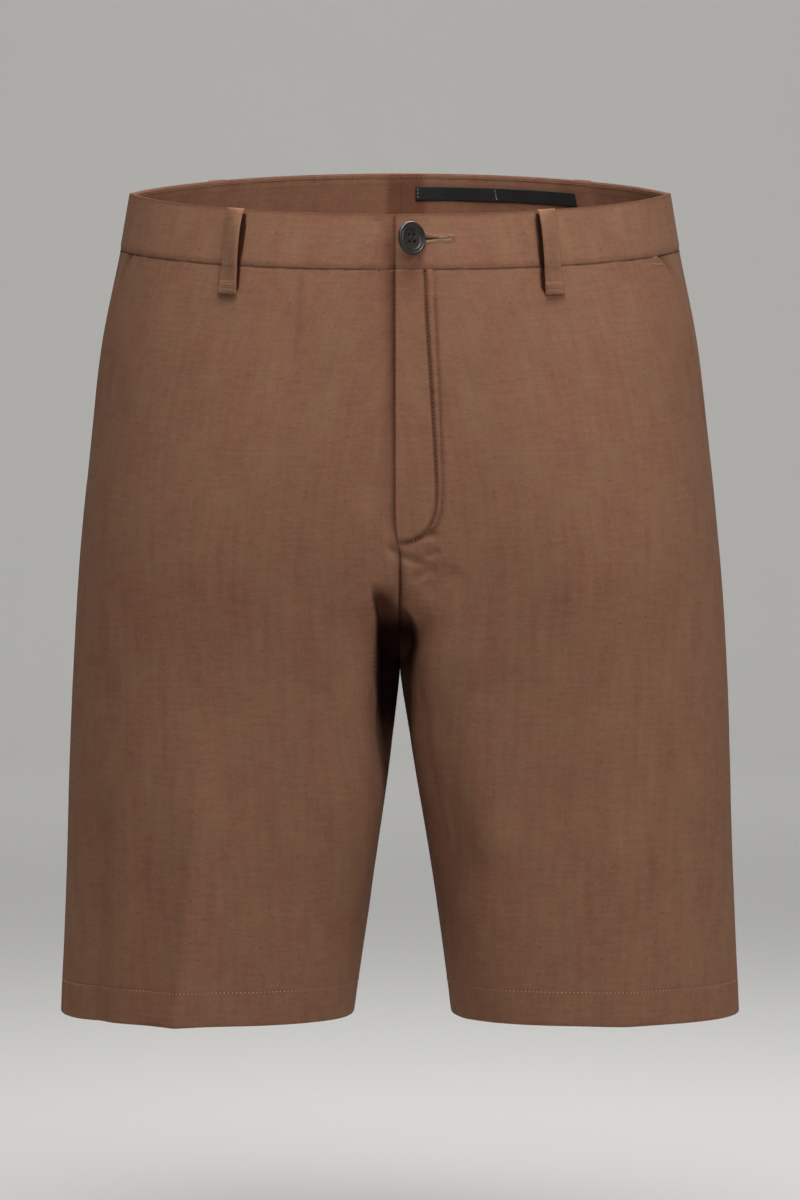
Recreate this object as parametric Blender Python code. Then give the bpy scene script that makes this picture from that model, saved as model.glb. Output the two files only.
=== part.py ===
"""Bermuda shorts, filled out as if worn, in metres with +Z up.

The origin is the centre of the waist's top edge. +X is the wearer's left and -Y is the front. Every
cloth piece lies on one surface, which body() works out from LEVELS: a place on it is a drop below the
waist's top edge, measured down the side, and a share of the half girth, 0 at the centre front, 1 at
the side seam and 2 at the centre back. Below the crotch, 0 and 2 are the two sides of the inseam.
"""

import math
from collections import namedtuple

import bmesh
import bpy
import numpy as np

CM = 0.01
MM = 0.001

# Thickness of the cloth and of its doubled parts
PANEL_WALL = 1.5 * MM
HEM_WALL = 2.6 * MM
BAND_WALL = 2.8 * MM
SHIELD_WALL = 1.5 * MM
FACING_WALL = 1.2 * MM
LABEL_WALL = 1.0 * MM
LOOP_WALL = 1.8 * MM
SEAM_GAP = 0.3 * MM

# Drops below the waist's top edge
BAND_SEAM = 3.5 * CM
FLY_END = 21.5 * CM
SEAT_TOP = 13.0 * CM
CROTCH = 28.7 * CM
HEM_FOLD = 47.35 * CM
HEM_EDGE = 49.4 * CM

# How the crotch seam falls away from the front and from the seat, the higher the later
FRONT_CROTCH_POWER = 2.5
BACK_CROTCH_POWER = 3.0

# Where the fronts turn in between the legs, their inner corners stand back from the middle and leave
# a cleft: how far in it keeps its width and then narrows, how far from its floor it opens, and how
# wide a strip of each front it draws aside
CLEFT_DEPTH = 2.0 * CM
CLEFT_NARROWING = 4.5 * CM
CLEFT_FLOOR = 1.5 * CM
CLEFT_SPREAD = 5.0 * CM

# The waist's top edge is higher behind than in front, and this tilt fades down the legs
WAIST_TILT = 1.82 * CM
TILT_POWER = 1.4
TILT_FADE = 30.0 * CM

# The side seam lies a little in front of the widest point, as an angle about the section's middle
SIDE_SEAM_ANGLE = math.radians(10.0)

# The left front laps over the right one, so the fly's edge stands off the middle as far as its end
FLY_OFFSET = -0.22 * CM
FLY_OFFSET_REACH = 5.0 * CM
FLY_OFFSET_FADE = 3.0 * CM
FLY_DIP = 1.8 * MM
LAP_DIP_START = 1.3 * CM
LAP_DIP_WIDTH = 1.1 * CM
UNDERLAP = 3.6 * CM
SHIELD_REACH = 1.0 * CM
SHIELD_BOTTOM = 19.8 * CM
SHIELD_END_SQUARENESS = 6
SHIELD_END = 0.92

BAND_PROUD = 0.5 * MM

POCKET_WIDTH = 4.2 * CM
POCKET_SIDE = 2.4 * CM
POCKET_BEND = 1.2 * CM
POCKET_BOTTOM = 16.0 * CM
POCKET_UNDERLAP = 1.4 * CM
POCKET_STEP = 0.1 * CM
POCKET_RISE = 0.9 * CM
FACING_BOTTOM = 15.0 * CM

LOOP_WIDTH = 1.15 * CM
LOOP_TOP = 0.08 * CM
LOOP_BOTTOM = 5.25 * CM
LOOP_STAND_OFF = 3.4 * MM
LOOP_ARCH_POWER = 0.7
LOOP_SETTLE = 0.3 * CM

LABEL_TOP = 0.86 * CM
LABEL_BOTTOM = 1.62 * CM

BUTTON_DROP = 1.68 * CM
BUTTON_FROM_MIDDLE = 0.78 * CM
BUTTON_TURN = math.radians(37.0)
BUTTON_TIP = math.radians(5.0)
BUTTON_SHANK = 5.2 * MM
SHANK_SUNK = 0.4 * MM
SHANK_RADIUS = 1.5 * MM
HOLE_RADIUS = 0.9 * MM
HOLE_OFFSET = 2.1 * MM

# How finely the pieces are cut. The panels' columns crowd towards the centre seam, and the rows of
# the fork towards the crotch.
SECTION_POINTS = 240
PROBE_DROP = 0.5 * MM
PROBE_SHARE = 0.002
PANEL_COLUMNS = 23
COLUMN_CROWDING = 1.15
BODY_ROWS = 7
FORK_ROWS = 11
FORK_CROWDING = 0.55
THIGH_ROWS = (0.35 * CM, 1.0 * CM, 2.2 * CM)
LEG_ROWS = 7
HEM_STEP = 0.08 * CM
BAND_COLUMNS = 38
LAP_COLUMNS = 7
LAP_SHARE = 0.09
UNDERLAP_COLUMNS = 5
LOOP_ROWS = 15
BUTTON_SIDES = 32
SHANK_SIDES = 12
HOLE_SIDES = 10

# Where a panel narrows to its centre seam, how far from that seam its columns close up
CLOSING_SHARE = 0.6
CLOSING_LIMIT = 8.0

# One row for each level of the body, in centimetres. side: half width; front and back: reach from
# the middle plane; crease: where the front and back stand out most, from the middle; gap_right and
# gap_left: from the middle to each leg's inner side; outer, front_turn and back_turn: how square the
# outer side and the inner front and back corners are, as superellipse exponents.
Level = namedtuple("Level", "drop side front back crease gap_right gap_left outer front_turn back_turn")
LEVELS = (
    Level(0.0, 16.20, 11.75, 11.75, 0.0, 0.00, 0.00, 2.15, 7.0, 4.0),
    Level(3.5, 16.80, 11.95, 12.15, 0.8, 0.00, 0.00, 2.20, 7.0, 4.0),
    Level(9.0, 17.90, 12.10, 13.20, 2.2, 0.00, 0.00, 2.25, 7.0, 4.0),
    Level(15.0, 18.60, 12.10, 13.85, 4.0, 0.00, 0.00, 2.30, 7.0, 4.0),
    Level(21.0, 19.20, 11.70, 13.20, 6.2, 0.00, 0.00, 2.30, 7.0, 4.0),
    Level(28.7, 19.67, 10.40, 10.90, 8.6, 0.00, 0.00, 2.25, 9.0, 3.5),
    Level(33.0, 19.85, 9.90, 10.10, 9.6, 0.48, 0.66, 2.20, 6.5, 3.0),
    Level(41.0, 20.10, 9.10, 9.10, 10.9, 1.60, 1.97, 2.05, 3.5, 2.6),
    Level(49.4, 20.45, 8.40, 8.10, 11.7, 2.77, 3.08, 1.95, 2.5, 2.3),
)

# One row for each side of the cleft, in centimetres: its side (-1 right, 1 left), its width, and the
# drops between which it opens and then closes again.
Cleft = namedtuple("Cleft", "hand width start full fade end")
CLEFTS = (
    Cleft(-1, 1.20, 21.5, 24.0, 30.0, 37.0),
    Cleft(1, 0.75, 23.5, 26.0, 27.0, 33.0),
)

# One row for each large fold, in centimetres: the face that it is on (-1 front, 1 back), where its
# line starts and ends across the body and down it, its half width, and its height, which is negative
# for a trough.
Fold = namedtuple("Fold", "face x_top drop_top x_low drop_low width height")
FOLDS = (
    Fold(-1, -12.3, 33.0, -13.4, 50.0, 1.30, 0.30),
    Fold(-1, -17.6, 34.0, -18.3, 50.0, 0.90, -0.22),
    Fold(-1, 12.6, 36.0, 13.2, 50.0, 1.60, 0.20),
    Fold(-1, -6.0, 5.5, -6.9, 13.0, 0.70, -0.12),
    Fold(-1, 6.4, 6.0, 7.0, 12.0, 0.80, -0.09),
    Fold(-1, -2.6, 23.5, -4.8, 29.0, 1.10, 0.25),
    Fold(-1, 2.4, 23.5, 4.4, 29.0, 1.00, 0.20),
    Fold(1, -12.2, 30.0, -12.8, 50.0, 1.50, 0.28),
    Fold(1, 12.2, 31.0, 12.8, 50.0, 1.50, 0.24),
    Fold(1, -4.0, 25.0, -8.4, 32.5, 2.20, 0.30),
    Fold(1, 4.0, 25.0, 8.8, 32.0, 2.20, 0.26),
)

# One row for each belt loop: its side (-1 right, 1 left), and its share of the half girth at its top
# and bottom ends.
Loop = namedtuple("Loop", "name hand share_top share_low")
BELT_LOOPS = (
    Loop("belt_loop_front_right", -1, 0.476, 0.470),
    Loop("belt_loop_front_left", 1, 0.421, 0.418),
    Loop("belt_loop_back_right", -1, 1.520, 1.520),
    Loop("belt_loop_back_left", 1, 1.520, 1.520),
)

# One row for each label: its ends, as distances from the centre back along the girth.
Label = namedtuple("Label", "name near far")
LABELS = (
    Label("label_main", 1.00 * CM, 6.05 * CM),
    Label("label_size", 6.12 * CM, 11.60 * CM),
)

# One row for each corner of the button's turned profile: radius and height above its back.
Corner = namedtuple("Corner", "radius height")
BUTTON_PROFILE = (
    Corner(7.2 * MM, 0.0),
    Corner(9.0 * MM, 0.7 * MM),
    Corner(9.8 * MM, 1.7 * MM),
    Corner(9.6 * MM, 2.6 * MM),
    Corner(8.9 * MM, 3.1 * MM),
    Corner(7.7 * MM, 2.9 * MM),
    Corner(6.9 * MM, 2.2 * MM),
)


def smooth(share):
    """0 up to 0 and 1 from 1 on, with a soft S between them."""
    share = np.clip(share, 0.0, 1.0)
    return share * share * (3.0 - 2.0 * share)


def levels_at(drop):
    """LEVELS at each of these drops, in metres: cubic pieces whose slopes come from the rows around."""
    rows = np.array(LEVELS)
    knots = rows[:, 0] * CM
    slopes = np.gradient(rows, knots, axis=0)
    below = np.clip(np.searchsorted(knots, drop, side="right") - 1, 0, len(knots) - 2)
    span = knots[below + 1] - knots[below]
    t = ((drop - knots[below]) / span)[:, None]
    span = span[:, None]
    values = (
        (1 + 2 * t) * (1 - t) ** 2 * rows[below]
        + t * (1 - t) ** 2 * span * slopes[below]
        + t * t * (3 - 2 * t) * rows[below + 1]
        + t * t * (t - 1) * span * slopes[below + 1]
    )
    values[:, 1:7] *= CM
    return Level(*(column[:, None] for column in values.T))


def crotch_reach(drop, start, power):
    """How far the crotch seam stands from the section's middle, as a share: 1 - fall to a power."""
    fall = np.clip((drop - start) / (CROTCH - start), 0.0, 1.0)
    return 1.0 - fall**power


def section(drop, hand):
    """Fine points (x, y) round one half of the body at each drop, and each point's share of the girth.

    Each quarter is a superellipse about (crease, middle). Above the crotch the inner quarters are cut
    off at x = 0, where the crotch seam is. Below it they end at the leg's inner side.
    """
    level = levels_at(drop)
    drop = drop[:, None]
    gap = np.maximum(level.gap_left if hand > 0 else level.gap_right, 0.0)
    middle = (level.back - level.front) / 2
    reach = (level.back + level.front) / 2
    ends = []
    inner = []
    for start, power, turn in (
        (FLY_END, FRONT_CROTCH_POWER, level.front_turn),
        (SEAT_TOP, BACK_CROTCH_POWER, level.back_turn),
    ):
        depth = crotch_reach(drop, start, power)
        cut = np.maximum(1.0 - depth**turn, 1e-9) ** (1.0 / turn)
        leg = drop >= CROTCH
        ends.append(np.where(leg, 0.0, np.arctan2(depth, cut)))
        inner.append(np.where(leg, level.crease - gap, level.crease / np.where(leg, 1.0, cut)))
    along = np.linspace(0.0, 1.0, SECTION_POINTS)
    seam = 2 * math.pi - SIDE_SEAM_ANGLE
    first = math.pi + ends[0]
    last = 3 * math.pi - ends[1]
    angle = np.concatenate([first + (seam - first) * along, seam + (last - seam) * along], axis=1)
    cosine = np.cos(angle)
    sine = np.sin(angle)
    inside = cosine < 0
    power = np.where(inside, np.where(sine < 0, level.front_turn, level.back_turn), level.outer)
    half = np.where(inside, np.where(sine < 0, inner[0], inner[1]), level.side - level.crease)
    radius = (np.abs(cosine) ** power + np.abs(sine) ** power) ** (-1.0 / power)
    x = level.crease + half * radius * cosine
    y = middle + reach * radius * sine
    step = np.hypot(np.diff(x, axis=1), np.diff(y, axis=1))
    shares = []
    girths = []
    for part in (step[:, : SECTION_POINTS - 1], step[:, SECTION_POINTS:]):
        run = np.concatenate([np.zeros_like(drop), np.cumsum(part, axis=1)], axis=1)
        girths.append(run[:, -1:])
        shares.append(run / run[:, -1:])
    shares[1] = shares[1] + 1.0
    return x, y, np.concatenate(shares, axis=1), girths, middle, reach


def girth(drop, hand):
    """Length of the front and of the back, from seam to seam, at each drop, as two columns."""
    return section(drop, hand)[3]


def cleft_width(px, py, drop, middle, reach, hand):
    """How far the cleft draws points of a front away from the middle."""
    row = next(cleft for cleft in CLEFTS if cleft.hand == hand)
    opening = smooth((drop - row.start * CM) / ((row.full - row.start) * CM))
    closing = 1.0 - smooth((drop - row.fade * CM) / ((row.end - row.fade) * CM))
    floor = middle - reach * crotch_reach(drop, FLY_END, FRONT_CROTCH_POWER)
    off_floor = smooth((floor - py) / CLEFT_FLOOR)
    inward = 1.0 - smooth((py - (middle - reach) - CLEFT_DEPTH) / CLEFT_NARROWING)
    aside = 1.0 - smooth(px / CLEFT_SPREAD)
    return row.width * CM * opening * closing * off_floor * inward * aside


def bare_body(drop, share, hand):
    """Points of one half before its folds: rows of equal drop, columns at these shares of the girth."""
    x, y, shares, _, middle, reach = section(drop, hand)
    offset = 4.0 * np.arange(len(drop))[:, None]
    wanted = (share + offset).ravel()
    known = (shares + offset).ravel()
    px = np.interp(wanted, known, x.ravel()).reshape(share.shape)
    py = np.interp(wanted, known, y.ravel()).reshape(share.shape)
    drop = drop[:, None]
    tilt = WAIST_TILT * np.clip(1.0 - drop / TILT_FADE, 0.0, 1.0)
    depth = (py - middle) / reach
    pz = tilt * np.sign(depth) * np.abs(depth) ** TILT_POWER - drop
    px = px + cleft_width(px, py, drop, middle, reach, hand)
    px = (px + SEAM_GAP / 2) * hand
    shift = FLY_OFFSET * (1.0 - smooth((drop - FLY_END + FLY_OFFSET_FADE) / FLY_OFFSET_FADE))
    px = px + shift * (1.0 - smooth(np.abs(px) / FLY_OFFSET_REACH)) * (py < middle)
    return np.stack([px, py, pz], axis=-1)


def facing_out(surface, drop, share, hand):
    """Outward unit normals of a surface function, from its differences down and across."""
    low = surface(drop - PROBE_DROP, share, hand)
    high = surface(drop + PROBE_DROP, share, hand)
    near = surface(drop, np.clip(share - PROBE_SHARE, 0.0, 2.0), hand)
    far = surface(drop, np.clip(share + PROBE_SHARE, 0.0, 2.0), hand)
    normal = np.cross(far - near, high - low) * -hand
    return normal / np.linalg.norm(normal, axis=-1, keepdims=True)


def relief(points, facing):
    """Height of the folds at these points: a bell across each fold's line, fading at its ends."""
    total = np.zeros(points.shape[:-1])
    place = np.stack([points[..., 0], -points[..., 2]], axis=-1)
    for fold in FOLDS:
        start = np.array([fold.x_top, fold.drop_top]) * CM
        line = np.array([fold.x_low, fold.drop_low]) * CM - start
        length = np.linalg.norm(line)
        away = place - start
        along = away @ line / length**2
        across = (away[..., 0] * line[1] - away[..., 1] * line[0]) / length
        ends = smooth(along * 3.0) * smooth((1.15 - along) * 5.0)
        bell = np.exp(-((across / (fold.width * CM)) ** 2))
        side = smooth(facing[..., 1] * fold.face * 2.0)
        total += fold.height * CM * bell * ends * side
    return total


def body(drop, share, hand):
    """Points of the cloth's outer face, with its folds."""
    points = bare_body(drop, share, hand)
    out = facing_out(bare_body, drop, share, hand)
    return points + out * relief(points, out)[..., None]


def lifted(drop, share, hand, *heights):
    """The outer face moved out by each of these heights, which may vary over the grid."""
    points = body(drop, share, hand)
    out = facing_out(body, drop, share, hand)
    return [points + out * np.broadcast_to(height, share.shape)[..., None] for height in heights]


def material(name, color, roughness, metallic=0.0):
    found = bpy.data.materials.new(name)
    found.use_nodes = True
    shader = found.node_tree.nodes["Principled BSDF"]
    shader.inputs["Base Color"].default_value = (*color, 1.0)
    shader.inputs["Roughness"].default_value = roughness
    shader.inputs["Metallic"].default_value = metallic
    return found


def link(mesh, finish):
    """An object of this mesh with its faces turned outwards, shaded smooth."""
    work = bmesh.new()
    work.from_mesh(mesh)
    bmesh.ops.recalc_face_normals(work, faces=work.faces)
    work.to_mesh(mesh)
    work.free()
    mesh.materials.append(finish)
    mesh.shade_smooth()
    mesh.set_sharp_from_angle(angle=math.radians(40.0))
    made = bpy.data.objects.new(mesh.name, mesh)
    bpy.context.scene.collection.objects.link(made)
    return made


def wall(name, outer, inner, finish):
    """A closed wall between two grids of points of one size."""
    rows, columns = outer.shape[:2]
    index = np.arange(rows * columns).reshape(rows, columns)
    quads = np.stack([index[:-1, :-1], index[1:, :-1], index[1:, 1:], index[:-1, 1:]], axis=-1)
    quads = quads.reshape(-1, 4)
    rim = np.concatenate([index[0, :-1], index[:-1, -1], index[-1, :0:-1], index[:0:-1, 0]])
    after = np.roll(rim, -1)
    edge = np.stack([rim, after, after + index.size, rim + index.size], axis=-1)
    faces = np.concatenate([quads, quads[:, ::-1] + index.size, edge])
    points = np.concatenate([outer.reshape(-1, 3), inner.reshape(-1, 3)])
    mesh = bpy.data.meshes.new(name)
    mesh.from_pydata(points.tolist(), [], faces.tolist())
    return link(mesh, finish)


def panel_drops():
    """Drops of a panel's rows: even down the body, close round the crotch, with a step at the hem."""
    curve = np.linspace(0.0, 1.0, FORK_ROWS) ** FORK_CROWDING
    top = np.linspace(BAND_SEAM + SEAM_GAP / 2, FLY_END, BODY_ROWS)
    fork = FLY_END + (CROTCH - FLY_END) * curve[1:]
    thigh = CROTCH + np.array(THIGH_ROWS)
    leg = np.linspace(thigh[-1], HEM_FOLD, LEG_ROWS)[1:]
    hem = np.array([HEM_FOLD + HEM_STEP, HEM_EDGE])
    return np.concatenate([top, fork, thigh, leg, hem])


def panel_wall(drop):
    """Thickness of a panel's wall at each drop: doubled where the hem is turned up."""
    return np.where(drop > HEM_FOLD, HEM_WALL, PANEL_WALL)[:, None]


def column_shares(columns, drop, hand, part):
    """Shares of the girth for a panel's columns, 0 at its centre seam and 1 at its side seam.

    Above the crotch the columns run straight up from those of the leg, and only the ones beside the
    centre seam close up, by the length that the panel loses there.
    """
    length = girth(drop, hand)[part]
    full = girth(np.array([CROTCH]), hand)[part]
    lost = np.maximum(full - length, 0.01 * MM)
    power = np.clip(CLOSING_SHARE * full / lost, 1.0, CLOSING_LIMIT)
    away = 1.0 - columns
    straight = 1.0 - (full * away - lost * away**power) / length
    return np.where(drop[:, None] < CROTCH, straight, columns)


def seam_trim(drop):
    """What a panel gives up along its inseam, so that front and back stay apart."""
    return np.where(drop >= CROTCH, SEAM_GAP / 2, 0.0)[:, None]


def pocket_inset(drop):
    """Distance from the side seam to the pocket's mouth, which curves in and then slants to that seam."""
    fall = np.clip((drop - BAND_SEAM) / (POCKET_BOTTOM - BAND_SEAM), 0.0, 1.0)
    corner = (POCKET_WIDTH - POCKET_SIDE) * np.exp(-fall * (POCKET_BOTTOM - BAND_SEAM) / POCKET_BEND)
    return np.where(fall < 1.0, POCKET_SIDE * (1.0 - fall**2) + corner, 0.0)[:, None]


def lap_dip(distance, depth):
    """How far the right side dips to pass under the left, by the distance along the girth."""
    return depth * smooth((distance + LAP_DIP_START) / LAP_DIP_WIDTH)


def make_front(name, hand, finish):
    drop = panel_drops()
    front = girth(drop, hand)[0]
    start = seam_trim(drop) / front
    end = 1.0 - np.maximum(pocket_inset(drop), SEAM_GAP / 2) / front
    columns = column_shares(np.linspace(0.0, 1.0, PANEL_COLUMNS) ** COLUMN_CROWDING, drop, hand, 0)
    share = start + (end - start) * columns
    dip = np.zeros(share.shape)
    if hand < 0:
        above = 1.0 - smooth((drop - FLY_END + FLY_OFFSET_FADE) / FLY_OFFSET_FADE)
        dip = lap_dip(-share * front, FLY_DIP) * above[:, None]
    outer, inner = lifted(drop, share, hand, -dip, -dip - panel_wall(drop))
    return wall(name, outer, inner, finish)


def make_back(name, hand, finish):
    drop = panel_drops()
    back = girth(drop, hand)[1]
    start = 1.0 + SEAM_GAP / 2 / back
    end = 2.0 - seam_trim(drop) / back
    columns = column_shares(np.linspace(1.0, 0.0, PANEL_COLUMNS) ** COLUMN_CROWDING, drop, hand, 1)
    share = end - (end - start) * columns
    outer, inner = lifted(drop, share, hand, 0.0, -panel_wall(drop))
    return wall(name, outer, inner, finish)


def make_facing(name, hand, finish):
    """The strip behind a pocket's mouth, under the front and then level with the back."""
    drop = np.linspace(BAND_SEAM + SEAM_GAP / 2, FACING_BOTTOM, 9)
    front = girth(drop, hand)[0]
    mouth = 1.0 - pocket_inset(drop) / front
    start = mouth - POCKET_UNDERLAP / front
    end = 1.0 - SEAM_GAP / 2 / front
    share = start + (end - start) * np.linspace(0.0, 1.0, 8)
    past = (share - mouth) * front
    rise = smooth((past - POCKET_STEP) / POCKET_RISE)
    low = -(PANEL_WALL + 2 * SEAM_GAP) * (1.0 - rise)
    outer, inner = lifted(drop, share, hand, low, low - FACING_WALL)
    return wall(name, outer, inner, finish)


def make_shield(finish):
    """The underlap behind the fly's edge, reaching from just right of it to under the left front."""
    drop = np.linspace(BAND_SEAM + SEAM_GAP / 2, SHIELD_BOTTOM, 10)
    height = -(FLY_DIP + PANEL_WALL + SEAM_GAP)
    sides = []
    down = np.linspace(0.0, SHIELD_END, len(drop))[:, None]
    rounded = np.sqrt(1.0 - down**SHIELD_END_SQUARENESS)
    for hand, reach, columns in ((1, UNDERLAP * rounded, 5), (-1, SHIELD_REACH, 3)):
        share = reach / girth(drop, hand)[0] * np.linspace(1.0, 0.0, columns)
        grids = lifted(drop, share, hand, height, height - SHIELD_WALL)
        sides.append(grids if hand > 0 else [grid[:, ::-1] for grid in grids])
    outer, inner = (np.concatenate(pair, axis=1) for pair in zip(*sides))
    return wall("fly_shield", outer, inner, finish)


def band_drops():
    """Drops of the waistband's rows, close at its rounded top edge."""
    low = BAND_SEAM - SEAM_GAP / 2
    return np.array([0.0, 0.05 * CM, 0.16 * CM, BAND_SEAM / 2, low])


def band_heights(dip):
    """Outer and inner heights of the band, drawn together at its top edge to round it."""
    fullness = np.array([0.45, 0.85, 1.0, 1.0, 1.0])[:, None]
    centre = BAND_PROUD - BAND_WALL / 2
    return (
        centre + BAND_WALL / 2 * fullness - dip,
        centre - BAND_WALL / 2 * fullness - dip,
    )


def make_band_left(finish):
    drop = band_drops()
    share = np.broadcast_to(np.linspace(0.0, 2.0, BAND_COLUMNS), (len(drop), BAND_COLUMNS)).copy()
    outer, inner = lifted(drop, share, 1, *band_heights(0.0))
    return wall("waistband_left", outer, inner, finish)


def make_band_right(finish):
    """The right half of the band, with the end that passes under the left half."""
    drop = band_drops()
    under = UNDERLAP / girth(drop, 1)[0] * np.linspace(1.0, 0.0, UNDERLAP_COLUMNS)
    depth = BAND_WALL + SEAM_GAP
    below = lifted(drop, under, 1, *band_heights(depth))
    close = np.linspace(0.0, LAP_SHARE, LAP_COLUMNS)
    columns = np.concatenate([close, np.linspace(LAP_SHARE, 2.0, BAND_COLUMNS)[1:]])
    share = np.broadcast_to(columns, (len(drop), len(columns))).copy()
    dip = lap_dip(-share * girth(drop, -1)[0], depth)
    beside = lifted(drop, share, -1, *band_heights(dip))
    outer, inner = (np.concatenate(pair, axis=1) for pair in zip(below, beside))
    return wall("waistband_right", outer, inner, finish)


def loop_grid(hand, share_top, share_low, columns):
    """Outer and inner faces of a belt loop's strip: an arch between its two sewn ends."""
    along = np.linspace(0.0, 1.0, LOOP_ROWS)
    drop = LOOP_TOP + (LOOP_BOTTOM - LOOP_TOP) * along
    length = girth(drop, hand)[0 if share_top < 1.0 else 1]
    centre = (share_top + (share_low - share_top) * along)[:, None]
    share = centre + LOOP_WIDTH / length * columns
    seat = (BAND_PROUD * (1.0 - smooth((drop - BAND_SEAM) / LOOP_SETTLE)) + SEAM_GAP)[:, None]
    arch = LOOP_STAND_OFF * np.sin(math.pi * along)[:, None] ** LOOP_ARCH_POWER
    return lifted(drop, share, hand, seat + arch + LOOP_WALL, seat + arch)


def make_loop(loop, finish):
    columns = np.linspace(-0.5, 0.5, 4)
    outer, inner = loop_grid(loop.hand, loop.share_top, loop.share_low, columns)
    return wall(loop.name, outer, inner, finish)


def make_centre_loop(finish):
    """The loop over the centre back, half on each side of it."""
    columns = np.linspace(-0.5, 0.0, 3)
    left = loop_grid(1, 2.0, 2.0, columns)
    right = loop_grid(-1, 2.0, 2.0, columns)
    faces = []
    for one, other in zip(left, right):
        middle = (one[:, -1:] + other[:, -1:]) / 2
        faces.append(np.concatenate([one[:, :-1], middle, other[:, -2::-1]], axis=1))
    return wall("belt_loop_back_centre", *faces, finish)


def make_label(label, finish):
    drop = np.linspace(LABEL_TOP, LABEL_BOTTOM, 3)
    back = girth(drop, 1)[1]
    share = 2.0 - (label.near + (label.far - label.near) * np.linspace(0.0, 1.0, 8)) / back
    height = BAND_PROUD - BAND_WALL - SEAM_GAP
    outer, inner = lifted(drop, share, 1, height, height - LABEL_WALL)
    return wall(label.name, outer, inner, finish)


def turned(name, corners, sides):
    """A closed mesh turned about Z from rows of radius and height, capped at both ends."""
    angle = np.linspace(0.0, 2 * math.pi, sides, endpoint=False)
    profile = np.array(corners)
    radius = profile[:, :1]
    height = np.broadcast_to(profile[:, 1:], (len(corners), sides))
    points = np.stack([radius * np.cos(angle), radius * np.sin(angle), height], axis=-1)
    index = np.arange(len(corners) * sides).reshape(len(corners), sides)
    beside = np.roll(index, -1, axis=1)
    quads = np.stack([index[:-1], beside[:-1], beside[1:], index[1:]], axis=-1).reshape(-1, 4)
    mesh = bpy.data.meshes.new(name)
    faces = [*quads.tolist(), index[0, ::-1].tolist(), index[-1].tolist()]
    mesh.from_pydata(points.reshape(-1, 3).tolist(), [], faces)
    return mesh


def boolean(target, tool, operation):
    tool.hide_render = True
    tool.display_type = "WIRE"
    cut = target.modifiers.new(tool.name, "BOOLEAN")
    cut.operation = operation
    cut.object = tool


def make_button(finish):
    """A four-hole button on its thread shank, turned where the buttonhole pulls it aside."""
    drop = np.array([BUTTON_DROP])
    share = np.array([[BUTTON_FROM_MIDDLE]]) / girth(drop, 1)[0]
    seat = lifted(drop, share, 1, BAND_PROUD + SEAM_GAP)[0][0, 0]
    out = facing_out(body, drop, share, 1)[0, 0]
    heading = math.atan2(out[0], -out[1])

    rod = (Corner(SHANK_RADIUS, 0.0), Corner(SHANK_RADIUS, BUTTON_SHANK))
    shank = link(turned("button_shank", rod, SHANK_SIDES), finish)
    shank.location = seat
    shank.rotation_euler = (math.pi / 2, 0.0, heading)
    button = link(turned("button", BUTTON_PROFILE, BUTTON_SIDES), finish)
    button.location = seat + out * (BUTTON_SHANK - SHANK_SUNK)
    button.rotation_euler = (math.pi / 2 - BUTTON_TIP, 0.0, heading + BUTTON_TURN)
    boolean(button, shank, "UNION")
    bit = (Corner(HOLE_RADIUS, -2 * MM), Corner(HOLE_RADIUS, 4 * MM))
    for x_side, y_side in ((-1, -1), (-1, 1), (1, 1), (1, -1)):
        drill = link(turned(f"button_drill_{x_side}_{y_side}", bit, HOLE_SIDES), finish)
        drill.parent = button
        drill.location = (x_side * HOLE_OFFSET, y_side * HOLE_OFFSET, 0.0)
        boolean(button, drill, "DIFFERENCE")
    return button


def main():
    for old in list(bpy.data.objects):
        bpy.data.objects.remove(old)
    cloth = material("linen_cotton", (0.235, 0.125, 0.078), 0.85)
    tape = material("woven_tape", (0.012, 0.012, 0.013), 0.7)
    horn = material("button_resin", (0.018, 0.015, 0.014), 0.25)

    for side, hand in (("right", -1), ("left", 1)):
        make_front(f"front_{side}", hand, cloth)
        make_back(f"back_{side}", hand, cloth)
        make_facing(f"pocket_facing_{side}", hand, cloth)
    make_shield(cloth)
    make_band_left(cloth)
    make_band_right(cloth)
    for loop in BELT_LOOPS:
        make_loop(loop, cloth)
    make_centre_loop(cloth)
    for label in LABELS:
        make_label(label, tape)
    make_button(horn)


main()
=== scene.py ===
"""Bermuda shorts of linen and cotton, filled out as if worn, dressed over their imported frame.

Metres with +Z up, the origin at the centre of the waist's top edge, +X the wearer's left and -Y the
front. Every piece of cloth lies on one surface: a place on it is a drop below the waist's top edge,
measured down the side, and a share of the half girth, 0 at the centre front, 1 at the side seam and
2 at the centre back. Below the crotch, 0 and 2 are the two sides of the inseam. A hand of 1 is the
wearer's left half and -1 the right half.
"""

import itertools
import math
from collections import namedtuple

import bmesh
import bpy
import numpy as np
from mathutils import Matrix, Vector


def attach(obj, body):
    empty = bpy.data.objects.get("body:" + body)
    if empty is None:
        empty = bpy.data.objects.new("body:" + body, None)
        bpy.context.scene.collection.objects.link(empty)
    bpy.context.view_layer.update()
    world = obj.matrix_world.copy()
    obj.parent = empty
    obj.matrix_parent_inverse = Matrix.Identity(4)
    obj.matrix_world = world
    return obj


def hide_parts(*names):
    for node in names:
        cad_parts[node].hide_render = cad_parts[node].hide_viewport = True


bl_info = {
    "name": "Bermuda shorts",
    "version": (1, 0, 0),
    "blender": (4, 5, 0),
    "location": "View3D > Sidebar > Shorts",
    "description": "Cloth, sewing, button and labels of a pair of bermuda shorts, with a studio",
    "category": "Object",
}

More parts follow.
